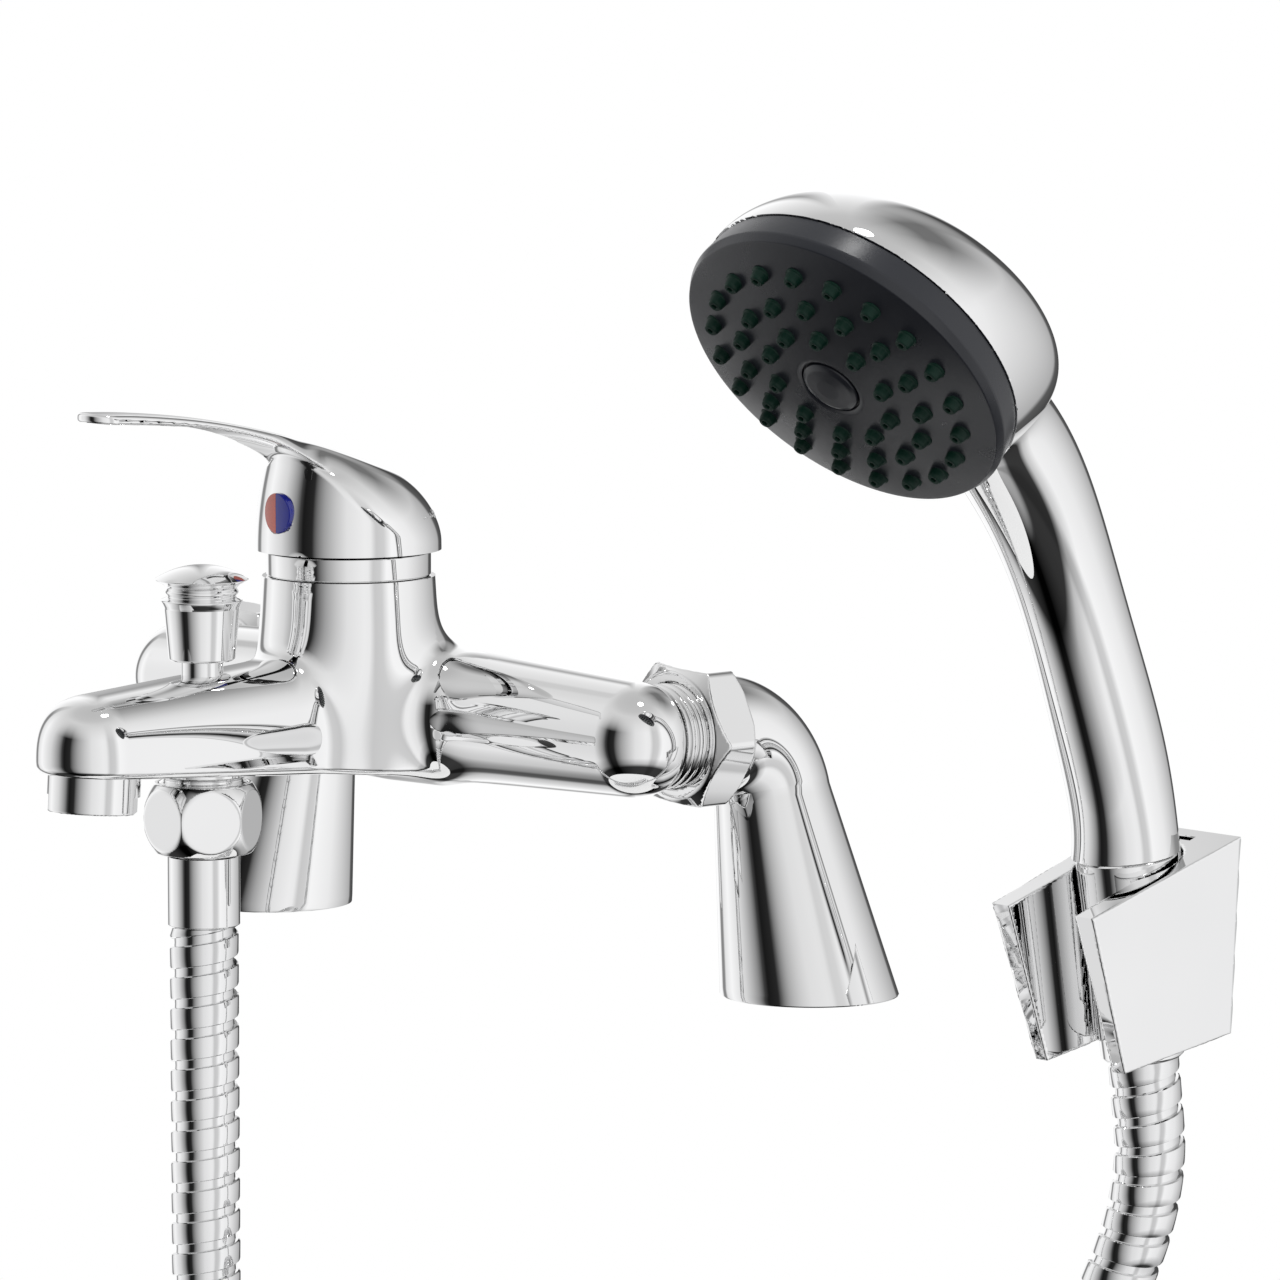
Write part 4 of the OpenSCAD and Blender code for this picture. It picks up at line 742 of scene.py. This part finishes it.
def body_field(x, y, z):
    rho = np.hypot(x, y - COL_Y)
    column = np.maximum((rho - (COL_R + COL_TAPER * (COL_TOP - z))) * 0.9984, z - COL_TOP)
    # the spout's section is a superellipse over its straight lower edge
    run = (y - OUT_Y) / (COL_Y - OUT_Y)
    half = np.where(y > OUT_Y, SPOUT_TIP_R + (SPOUT_ROOT_R - SPOUT_TIP_R) * run, SPOUT_TIP_R)
    plan = np.where(y > OUT_Y, (np.abs(x) - half) * 0.999, np.hypot(x, y - OUT_Y) - SPOUT_TIP_R)
    base = spout_under(y) + SPOUT_LIP
    u = np.maximum(1 + plan / half, 1e-3)
    lift = np.maximum(z - base, 0) / (SPOUT_TOP + SPOUT_CLIMB * np.clip(run, -0.05, 1.1) - base)
    rise = np.hypot(SPOUT_POWER * u ** (SPOUT_POWER - 1) / SPOUT_WIDE,
                    SPOUT_POWER * lift ** (SPOUT_POWER - 1) / SPOUT_TALL)
    spout = 0.95 * (u ** SPOUT_POWER + lift ** SPOUT_POWER - 1) / np.maximum(rise, 0.02)
    upper = smin(column, np.maximum(spout, y - (COL_Y + 4)), SPOUT_BLEND)
    upper = rmax(upper, np.maximum(BODY_LOW, spout_under(y)) - z, SPOUT_LIP)
    ax = np.abs(x)
    rr = np.hypot(y - ARM_Y, z - ARM_Z)
    arm = np.where(ax < UNION_X, (rr - (ARM_R - ARM_TAPER * ax / UNION_X)) * 0.9994,
                   np.hypot(ax - UNION_X, rr) - ARM_BALL_R)
    d = smin(upper, arm, ARM_BLEND)
    rn = np.hypot(ax - UNION_X, z - ARM_Z)
    d = np.maximum(d, -np.maximum(rn - NUT_ROOM_R, NUT_ROOM_Y - y))
    neck = np.maximum(np.maximum(rn - NECK_R, y - NECK_TO), NECK_FROM - y)
    return np.minimum(d, neck)


v, f, g = field_mesh(body_field, (-90, -138, 38), (90, -18, 89), 1.0)
piece("mixer_casting", v, f, "mixer", CHROME, "chrome", ("mixer_body",), normals=g)
for s, side in ((-1, "left"), (1, "right")):
    turned(side + "_neck_thread", thread(-34.4, -19.7, 11.28, 0.9, 2.1), (s * UNION_X, 0, ARM_Z), ALONG_Y,
           "mixer", CHROME, "chrome", n=80, sharp=None)


# Nuts: hexagons with a turned chamfer at both ends, or cut by a ball

NUT_EDGE = 0.25
UNION_SPIN, UNION_NUT_Y = math.radians(34), -25.7


def nut_field(af, length, bore, front, rear, spin, barrel, ball=None):
    """af is the width over flats; front and rear are chamfers as (inset, height)."""
    def f(x, y, z):
        rho = np.hypot(x, y)
        d = np.full(x.shape, -1e9)
        for k in range(3):
            w = spin + k * math.pi / 3
            d = np.maximum(d, np.abs(x * math.cos(w) + y * math.sin(w)) - af / 2)
        side = rmax(d, np.hypot(rho, z - length / 2) - ball if ball else rho - barrel, NUT_EDGE)
        for (inset, height), up in ((front, z), (rear, length - z)):
            cone = rho - (barrel - inset) - up * inset / height
            side = rmax(side, cone * math.cos(math.atan(inset / height)), NUT_EDGE)
        ends = rmax(side, np.maximum(-z, z - length), NUT_EDGE)
        return rmax(ends, bore - rho, NUT_EDGE)
    return f


union_nut = nut_field(29, 10.5, 11.4, (3.0, 2.0), (1.6, 1.4), UNION_SPIN, 16.53)
v, f, g = field_mesh(union_nut, (-18, -18, -1), (18, 18, 11.5), 0.45)
for s, side in ((-1, "left"), (1, "right")):
    piece(side + "_nut", placed(v, (s * UNION_X, UNION_NUT_Y, ARM_Z), ALONG_Y), f, "mixer", CHROME, "chrome",
          (side + "_union_nut",), normals=g @ ALONG_Y.T)


# Pillars: elbow, then a cone that widens to the deck

ELBOW_R, PILLAR_R, PILLAR_FOOT_R, PILLAR_SIDES = 14.8, 12.6, 18.9, 112
# Mouth of the elbow as (y, r), rim of the foot as (inset, z), underside with its seal groove as (r, z)
PILLAR_MOUTH = [(-17.2, 9.6), (-15.0, 9.6), (-14.9, 11.6), (-14.8, 12.2)]
PILLAR_RIM_Z, PILLAR_RIM = 0.35, [(0.1, 0.1), (0.35, 0.0)]
PILLAR_UNDER = [(17.4, 0.0), (17.4, 1.6), (14.7, 1.6), (14.7, 0.0), (13.3, 0.0), (13.2, 0.2), (13.2, 12.0),
                (7.0, 12.0)]


def make_pillar(s, name, node):
    n = PILLAR_SIDES
    lean = math.atan((FOOT_X - UNION_X) / ARM_Z)
    turn = rot_y(-s * lean)
    length = ARM_Z / math.cos(lean) - ELBOW_R
    th = np.linspace(0, 2 * np.pi, n, endpoint=False)
    cos, sin = np.cos(th), np.sin(th)
    at = np.array([s * UNION_X, 0, ARM_Z])
    rows = [np.stack([r * cos, np.full(n, y), r * sin], 1) @ turn.T + at for y, r in PILLAR_MOUTH]
    for a in np.linspace(0, math.pi / 2, 28):
        c = np.array([0, -ELBOW_R + ELBOW_R * math.sin(a), -ELBOW_R + ELBOW_R * math.cos(a)])
        e = np.array([0, math.sin(a), math.cos(a)])
        ring = cos[:, None] * np.array([1.0, 0, 0]) + sin[:, None] * e
        rows.append((c + PILLAR_R * ring) @ turn.T + at)
    last = rows[-1]
    k = (PILLAR_FOOT_R - PILLAR_R) / length
    gen = np.stack([k * cos, k * sin, np.full(n, -1.0)], 1) @ turn.T
    stop = (last[:, 2] - PILLAR_RIM_Z) / -gen[:, 2]
    for q in np.linspace(0.04, 1, 24):
        rows.append(last + gen * (stop * q)[:, None])
    rim = rows[-1]
    mid = np.array([s * FOOT_X, 0, 0])
    out = rim - mid
    out[:, 2] = 0
    out /= np.linalg.norm(out, axis=1, keepdims=True)
    for inset, z in PILLAR_RIM:
        q = rim - out * inset
        q[:, 2] = z
        rows.append(q)
    for r, z in PILLAR_UNDER:
        rows.append(np.stack([r * cos, r * sin, np.full(n, z)], 1) + mid)
    f = []
    for i in range(len(rows) - 1):
        for j in range(n):
            q = (j + 1) % n
            f.append([i * n + j, (i + 1) * n + j, (i + 1) * n + q, i * n + q])
    piece(name, np.vstack(rows), f, "mixer", CHROME, "chrome", (node,), sharp=35)


make_pillar(-1, "left_leg", "left_pillar")
make_pillar(1, "right_leg", "right_pillar")


# Column collar and lever handle

COLLAR = [(12.6, 85.2), (15.0, 85.2), (15.0, 86.75), (17.6, 86.75, 0.3), (17.9, 87.1, 0.2), (17.9, 91.7, 0.5),
          (16.5, 93.2, 0.5), (11.6, 93.2, 0.3), (11.6, 85.2), (12.6, 85.2)]
turned("collar", rounded(COLLAR, 5), (0, COL_Y, 0), None, "mixer", CHROME, "chrome", ("cartridge_cover",), n=128)

# Height, thickness and half width of the lever along its length, from the column's axis
LEVER_TOP = spline([-80, -72.8, -66, -55.6, -44, -32.2, -20.4, -7.6, 3.6, 13.2, 24],
                   [33.9, 33.85, 33.6, 32.7, 31.2, 29, 26.2, 22.6, 19.0, 15.2, 10.4])
LEVER_THICK = spline([-80, -72, -62, -54, -44, -36, -30, -23, -19, -14, -8, 0, 12],
                     [2, 2, 1.95, 1.8, 1.55, 1.5, 1.65, 2.3, 3.1, 4.5, 6.5, 9, 12.5])
LEVER_HALF = spline([-80, -72, -62, -54, -44, -36, -30, -24, -20, -16, -12, -8, 0, 8, 14],
                    [5.2, 5.4, 5.8, 6.1, 6.6, 7.2, 7.9, 8.9, 9.6, 10.4, 12.0, 14.0, 15.5, 14.0, 9])
LEVER_END, LEVER_CORNER, LEVER_ROOT, LEVER_FLARE = -72.8, 5.0, 12, 4.0
# Crosswise bow of the top, and what the hood adds to it
LEVER_BOW, HOOD_BOW = 0.0125, 0.006
# Rounding of the upper edge at the tip, what the middle and the hood add to it, and of the lower edge
TIP_EDGE, MID_EDGE, HOOD_EDGE, LOWER_EDGE = 0.75, 0.6, 7.6, 0.6
# The hood's cup: how far it stays under the lever in front, its edge there and what is added behind
CUP_DROP, CUP_EDGE, CUP_ROUND = 4.0, 0.3, 8.6
CUP_BLEND, NO_BLEND = 5.0, 0.01
SKIRT_TAPER = 0.0065
# Room under the hood: radius at the foot and at its top, and the boss left inside
ROOM_Z, ROOM_R = (7.6, 12.6), (18.3, 11.5)
BOSS_R, BOSS_Z = 7.5, 3.1
SEAT_R, SEAT_Y = 4.62, 19.4
INDICATOR_R, INDICATOR_BOW, INDICATOR_BACK, INDICATOR_GAP = 4.4, 20.45, 18.7, 0.03


def handle_field(x, y, z):
    dy, dz = y - COL_Y, z - SKIRT_Z
    rho = np.hypot(x, dy)
    wall = rho - (SKIRT_R - SKIRT_TAPER * np.maximum(dz, 0) ** 2)
    bow = x * x * (LEVER_BOW + HOOD_BOW * step(-30, -6, dy))
    top = (dz + bow - LEVER_TOP(dy)) * 0.96
    under = (LEVER_TOP(dy) - LEVER_THICK(dy) - dz - bow) * 0.96
    strip = rmax((np.abs(x) - LEVER_HALF(dy)) * 0.98, LEVER_END - dy, LEVER_CORNER)
    plan = smin(wall, np.maximum(strip, dy - LEVER_ROOT), LEVER_FLARE)
    # edges grow rounder from the lever's tip to the hood
    edge = TIP_EDGE + MID_EDGE * step(-40, -26, dy) + HOOD_EDGE * step(-28, -13, dy)
    lever = rmax(rmax(top, plan, edge), under, LOWER_EDGE)
    hood = step(-20, -9, dy)
    cup = rmax(wall, top + CUP_DROP * (1 - hood), CUP_EDGE + CUP_ROUND * hood)
    d = smin(cup, lever, NO_BLEND + CUP_BLEND * (1 - step(-20, -13, dy)))
    d = np.maximum(d, -dz)
    room = np.maximum(rho - np.interp(dz, ROOM_Z, ROOM_R), dz - ROOM_Z[1])
    room = np.maximum(room, -np.maximum(rho - BOSS_R, BOSS_Z - dz))
    d = np.maximum(d, -room)
    seat = np.maximum(np.hypot(x, dz - INDICATOR_UP) - SEAT_R, dy + SEAT_Y)
    return np.maximum(d, -seat)


def indicator_field(s):
    def f(x, y, z):
        dy, dz = y - COL_Y, z - SKIRT_Z - INDICATOR_UP
        d = rmax(np.hypot(x, dz) - INDICATOR_R, np.hypot(x, dy) - INDICATOR_BOW, 0.35)
        return np.maximum(np.maximum(d, INDICATOR_GAP - s * x), dy + INDICATOR_BACK)
    return f


v, f, g = field_mesh(handle_field, (-22, -127, 91), (22, -30, 128), 0.4)
piece("lever_handle", v, f, "lever", CHROME, "chrome", ("handle",), normals=g)
for s, name, mat, slot in ((-1, "indicator_red", RED, "red_plastic"), (1, "indicator_blue", BLUE, "blue_plastic")):
    v, f, g = field_mesh(indicator_field(s), (-5, -73.5, 96), (5, -69, 107), 0.22)
    piece(name + "_half", v, f, "lever", mat, slot, (name,), normals=g)


# Diverter knob, hose end and aerator: profiles as (r, z, fillet)

KNOB_RIM, CAP_R, CAP_RISE = 88.85, 10.05, 3.05
CAP_BALL = (CAP_R ** 2 + CAP_RISE ** 2) / (2 * CAP_RISE)
CAP_ANGLES = np.linspace(math.asin(CAP_R / CAP_BALL), 0, 14)[1:]
KNOB = [(0, 71.4), (6.8, 71.4, 0.3), (7.15, 71.8, 0.3), (8.15, 82.6, 0.25), (8.3, 83.0, 0.2), (8.9, 84.35, 0.3),
        (7.15, 85.15, 0.3), (8.1, 86.05, 0.6), (7.5, 86.95, 0.3), (8.2, 87.7, 0.8), (CAP_R, KNOB_RIM - 0.1, 0.08),
        (CAP_R, KNOB_RIM, 0.08)]
KNOB_CAP = [(CAP_BALL * math.sin(w), KNOB_RIM + CAP_RISE - CAP_BALL + CAP_BALL * math.cos(w)) for w in CAP_ANGLES]
HOSE_NUT_TOP, HOSE_NUT_LOW, HOSE_NUT_R = 45.2, 30.0, 12.95
NIPPLE_LOW = [(6.0, 34.5), (9.0, 34.5)]
NIPPLE_TOP = [(9.6, 47.0), (10.9, 47.0), (10.9, 48.6), (9.2, 48.6), (9.2, 52.0), (8.0, 52.0), (8.0, 49.0),
              (6.0, 49.0), (6.0, 34.5)]
FERRULE = [(4.5, 14.0), (7.3, 14.0, 0.3), (7.85, 14.5, 0.3), (7.85, 29.2, 0.4), (7.3, 30.0, 0.3), (6.7, 30.0),
           (6.7, 31.5), (9.2, 31.5), (9.2, 33.0), (4.5, 33.0), (4.5, 14.0)]
ON_DIVERTER = (0, DIV_Y, 0)

turned("knob", list(rounded(KNOB, 5)) + KNOB_CAP, ON_DIVERTER, None, "diverter", CHROME, "chrome",
       ("diverter_knob",))
hose_nut = nut_field(22.4, HOSE_NUT_TOP - HOSE_NUT_LOW, 9.6, (0.6, 0.6), (0.6, 0.6), math.pi / 2, HOSE_NUT_R,
                     HOSE_NUT_R)
v, f, g = field_mesh(hose_nut, (-14, -14, -1), (14, 14, 16.5), 0.4)
piece("hose_nut_hex", placed(v, (0, DIV_Y, HOSE_NUT_LOW)), f, "mixer", CHROME, "chrome", ("hose_nut",), normals=g)
turned("outlet_nipple", NIPPLE_LOW + thread(35.0, 46.6, 9.45, 0.8, 1.81) + NIPPLE_TOP, ON_DIVERTER, None,
       "mixer", CHROME, "chrome", ("shower_outlet",), n=80)
turned("ferrule", rounded(FERRULE, 5), ON_DIVERTER, None, "mixer", CHROME, "chrome", ("mixer_ferrule",))

AERATOR_R, AERATOR_BORE, AERATOR_LOW, AERATOR_TOP, AERATOR_EDGE = 10.0, 6.6, -7.8, 0.5, 0.4
# Two flats for a spanner, turned by this angle, up to this height
FLAT_TURN, FLAT_HALF, FLAT_TOP = math.pi / 4, 9.05, -4.2
SPOUT_SLOPE = rot_x(-math.atan((SPOUT_TIP_Z - SPOUT_ROOT_Z) / (COL_Y - OUT_Y)))


def aerator_field(x, y, z):
    rho = np.hypot(x, y)
    d = rmax(rho - AERATOR_R, np.maximum(AERATOR_LOW - z, z - AERATOR_TOP), AERATOR_EDGE)
    flat = np.abs(x * math.cos(FLAT_TURN) + y * math.sin(FLAT_TURN)) - FLAT_HALF
    d = np.maximum(d, np.minimum(flat, FLAT_TOP - z))
    return rmax(d, AERATOR_BORE - rho, AERATOR_EDGE)


v, f, g = field_mesh(aerator_field, (-11, -11, -9), (11, 11, 1.5), 0.4)
piece("aerator_cup", placed(v, (0, OUT_Y, SPOUT_TIP_Z), SPOUT_SLOPE), f, "mixer", CHROME, "chrome",
      ("aerator_housing",), normals=g @ SPOUT_SLOPE.T)


# Handset: domed head flowing into the grip

# Middle line of the grip as (y, z, radius) from its foot, and polynomials fitted to it
SPINE = np.array([[0, 0, 11.45], [-2.98, 16.5, 11.2], [-8.47, 33.06, 11.0], [-12.82, 44.6, 11.0],
                  [-18.47, 56.94, 11.05], [-26.7, 72.5, 11.55], [-34.52, 85.36, 12.75], [-43.68, 94.32, 12.55],
                  [-53.94, 101.9, 11.45], [-65.81, 110.0, 9.95]])
spine_at = np.concatenate([[0], np.cumsum(np.linalg.norm(np.diff(SPINE[:, :2], axis=0), axis=1))])
CY, CZ, CR = (np.polyfit(spine_at / spine_at[-1], SPINE[:, i], d) for i, d in ((0, 5), (1, 5), (2, 6)))
DY, DZ = np.polyder(CY), np.polyder(CZ)
EY, EZ = np.polyder(DY), np.polyder(DZ)
# The head's dome above its rim: it leans back as it closes
RIM_Z, DOME_R, DOME_DEPTH, DOME_POWER, DOME_LEAN = 9.9, 36.2, 24.5, 6.667, 10.3
HEAD_ROOM_R, HEAD_BLEND = 46.0, 7.0


def handset_field(x, y, z):
    # nearest place on the middle line: the best of some samples, then Newton steps
    best, s = np.full(x.shape, 1e18), np.zeros(x.shape)
    for k in np.linspace(-0.05, 1, 30):
        d2 = (y - np.polyval(CY, k)) ** 2 + (z - np.polyval(CZ, k)) ** 2
        s = np.where(d2 < best, k, s)
        best = np.minimum(best, d2)
    for _ in range(3):
        ey, ez = np.polyval(CY, s) - y, np.polyval(CZ, s) - z
        dy, dz = np.polyval(DY, s), np.polyval(DZ, s)
        bend = dy * dy + dz * dz + ey * np.polyval(EY, s) + ez * np.polyval(EZ, s)
        s = np.clip(s - np.clip((ey * dy + ez * dz) / np.maximum(bend, 2000), -0.04, 0.04), -0.08, 1)
    d = np.sqrt(x ** 2 + (y - np.polyval(CY, s)) ** 2 + (z - np.polyval(CZ, s)) ** 2) - np.polyval(CR, s)
    up = -y * math.sin(TILT) + z * math.cos(TILT)
    hy = (y - HEAD_AT[1]) * math.cos(HEAD_TURN) + (z - HEAD_AT[2]) * math.sin(HEAD_TURN)
    hz = -(y - HEAD_AT[1]) * math.sin(HEAD_TURN) + (z - HEAD_AT[2]) * math.cos(HEAD_TURN)
    t = np.maximum(hz - RIM_Z, 0) / DOME_DEPTH
    ry = hy - DOME_LEAN * np.minimum(t, 1.2) ** 1.5
    u = np.maximum(np.hypot(x, ry), 1e-3) / DOME_R
    rise = np.hypot(DOME_POWER * u ** (DOME_POWER - 1) / DOME_R, 2 * t / DOME_DEPTH)
    dome = 0.9 * (u ** DOME_POWER + t * t - 1) / np.maximum(rise, 0.01)
    d = smin(d, dome, HEAD_BLEND)
    d = np.maximum(d, -np.maximum(hz - RIM_Z, np.hypot(x, hy) - HEAD_ROOM_R))
    return np.maximum(d, -up)


CONE = [(4.5, -44.0), (8.2, -44.0, 0.4), (8.8, -43.4, 0.4), (10.8, -0.8, 0.4), (10.4, -0.3, 0.3), (9.1, -0.3),
        (9.1, -15.9), (4.5, -15.9), (4.5, -44.0)]
v, f, g = field_mesh(handset_field, (-41, -124, -2), (41, 14, 150), 0.9)
piece("handset_body", placed(v, GRIP, TURN), f, "handset", CHROME_ABS, "chrome_plastic", ("handset_shell",),
      normals=g @ TURN.T)
turned("cone", rounded(CONE, 5), GRIP, LEAN, "holder", CHROME, "chrome", ("cone_nut",))
turned("grip_thread", thread(-14.0, 1.0, 9.0, 0.8, 1.81), GRIP, LEAN, "handset", CHROME_ABS, "chrome_plastic", n=64)

# Spray face: part of a ball, with a raised middle and a rounded bezel; profiles as (r, z, fillet)
BALL = 131.5
FACE_BALL = math.hypot(BALL - 2.15, 35.0)
FACE_R, PLATEAU = 34.6, 1.1


def face_z(r):
    return BALL - math.sqrt(FACE_BALL ** 2 - r * r)


FRONT = [(0, face_z(0) + PLATEAU), (6.55, face_z(6) + PLATEAU), (6.75, face_z(6) + 0.35), (7.2, face_z(7.2))]
FRONT += [(r, face_z(r)) for r in np.linspace(8, FACE_R, 24)]
BEZEL = [(FACE_R, face_z(FACE_R)), (35.7, face_z(35.7), 0.5), (36.6, 4.2, 1.2), (35.85, 9.75, 0.2), (35.5, 9.9),
         (34.0, 9.9), (34.0, 12.1), (31.8, 12.1), (31.8, 6.4), (20, 2.2), (0, 0.0)]
BUTTON = [(0, -3.25), (2.5, -3.15, 4), (5.2, -2.85, 2.0), (6.3, -2.3, 0.5), (6.3, -1.4), (0, -1.4)]
NOZZLE = [(2.15, 0.35), (2.15, 0.05, 0.15), (1.85, -0.15, 0.1), (1.75, -0.4, 0.1), (1.55, -1.5, 0.3),
          (1.3, -2.1, 0.25), (0.62, -2.15, 0.12), (0.5, -1.2), (0.0, -1.2)]
# Rings of nozzles: radius, number, turn of the first in degrees
RINGS = [(28.44, 20, 10.1), (21.0, 15, 19.2), (13.87, 10, 1.1)]


def make_nozzles():
    verts, faces, count = [], [], 0
    v0, f0 = lathe(rounded(NOZZLE, 3)[::-1], 20)
    for ring, n, phase in RINGS:
        for i in range(n):
            w = math.radians(phase + 360 * i / n)
            c = np.array([ring * math.cos(w), ring * math.sin(w), face_z(ring)])
            verts.append(placed(v0 + c, FACE, HEAD))
            faces += [[q + count for q in fc] for fc in f0]
            count += len(v0)
    piece("nozzles", np.vstack(verts), faces, "handset", RUBBER_GREEN, "nozzle_rubber", ("nozzle_mat",), sharp=40)


turned("spray_face", np.vstack([FRONT, rounded(BEZEL)[1:]]), FACE, HEAD, "handset", FACE_PLASTIC, "face_plastic",
       ("head_face",), n=160, sharp=40)
turned("face_button", rounded(BUTTON)[::-1], FACE, HEAD, "handset", FACE_PLASTIC, "face_plastic", ("centre_cap",),
       n=64, sharp=50)
make_nozzles()


# Wall bracket: a block with sloping cheeks, a conical socket open to the front and flutes in its wall

BRACKET_SIDE = [(0.7, 25.7), (43, 39), (43, -3), (12.2, -8.3)]
CHEEK, CHEEK_BY_Y, CHEEK_BY_Z = 13.5, 0.02, 0.055
SOCKET_GAP, SOCKET_WIDER, SOCKET_STEP = 0.3, 0.7, -14
SLOT_HALF = 9.6
FLUTES, FLUTE_AT, FLUTE_R = (62, 90, 118, 150), 9.3, 1.8
# Pocket in the top by the wall: half width, middle and half depth along Y, floor
POCKET_HALF, POCKET_Y, POCKET_DEEP, POCKET_Z = 6, 39.3, 0.9, 28


def bracket_field(x, y, z):
    qx = x - HAND_X
    side = poly_sd(y, z, BRACKET_SIDE)
    cheek = (np.abs(qx) - (CHEEK + CHEEK_BY_Y * y + CHEEK_BY_Z * z)) * 0.998
    d = rmax(side, cheek, 0.45)
    ly = (y - GRIP[1]) * math.cos(TILT) + (z - GRIP[2]) * math.sin(TILT)
    lz = -(y - GRIP[1]) * math.sin(TILT) + (z - GRIP[2]) * math.cos(TILT)
    slope = (CONE_TOP_R - CONE_FOOT_R) / CONE_LENGTH
    wider = np.where(lz > SOCKET_STEP, SOCKET_WIDER, 0)
    cone = np.hypot(qx, ly) - (CONE_FOOT_R + (lz + CONE_LENGTH) * slope + SOCKET_GAP + wider)
    hole = np.minimum(cone, np.maximum(np.abs(qx) - SLOT_HALF, ly))
    for a in FLUTES:
        w = math.radians(a)
        flute = np.hypot(np.abs(qx) - FLUTE_AT * math.sin(w), ly + FLUTE_AT * math.cos(w)) - FLUTE_R
        hole = np.minimum(hole, flute)
    d = rmax(d, -hole, 0.35)
    pocket = np.maximum(np.maximum(np.abs(qx) - POCKET_HALF, np.abs(y - POCKET_Y) - POCKET_DEEP), POCKET_Z - z)
    return np.maximum(d, -pocket)


v, f, g = field_mesh(bracket_field, (HAND_X - 18, -2, -10), (HAND_X + 18, 45, 41), 0.5)
piece("bracket_body", v, f, "mixer", CHROME_ABS, "chrome_plastic", ("bracket",), normals=g)


# Round table top under the coil: pale, and it keeps the shadow; metres

FLOOR_MID, FLOOR_R, FLOOR_Z, FLOOR_SIDES = (0.04, -0.03), 0.175, -0.2346, 128
FLOOR_GREY, FLOOR_ROUGH, FLOOR_GLOW = (0.86, 0.86, 0.86, 1), 0.7, 0.6


def make_floor():
    turns = np.linspace(0, 2 * np.pi, FLOOR_SIDES, endpoint=False)
    v = [(FLOOR_MID[0] + FLOOR_R * math.cos(a), FLOOR_MID[1] + FLOOR_R * math.sin(a), FLOOR_Z) for a in turns]
    me = bpy.data.meshes.new("floor")
    me.from_pydata(v, [], [list(range(FLOOR_SIDES))])
    o = bpy.data.objects.new("floor", me)
    bpy.context.scene.collection.objects.link(o)
    m, t, p = material("floor")
    p.inputs["Base Color"].default_value = FLOOR_GREY
    p.inputs["Roughness"].default_value = FLOOR_ROUGH
    path = t.nodes.new("ShaderNodeLightPath")
    seen = math_node(t, "MAXIMUM", path.outputs["Is Camera Ray"], path.outputs["Is Glossy Ray"])
    seen = math_node(t, "MAXIMUM", seen, path.outputs["Is Transmission Ray"])
    glow = t.nodes.new("ShaderNodeEmission")
    shader_mix(t, math_node(t, "MULTIPLY", seen, FLOOR_GLOW), p.outputs[0], glow.outputs[0],
               t.nodes["Material Output"].inputs["Surface"])
    me.materials.append(m)


make_floor()
bpy.context.scene.view_settings.view_transform = "Standard"
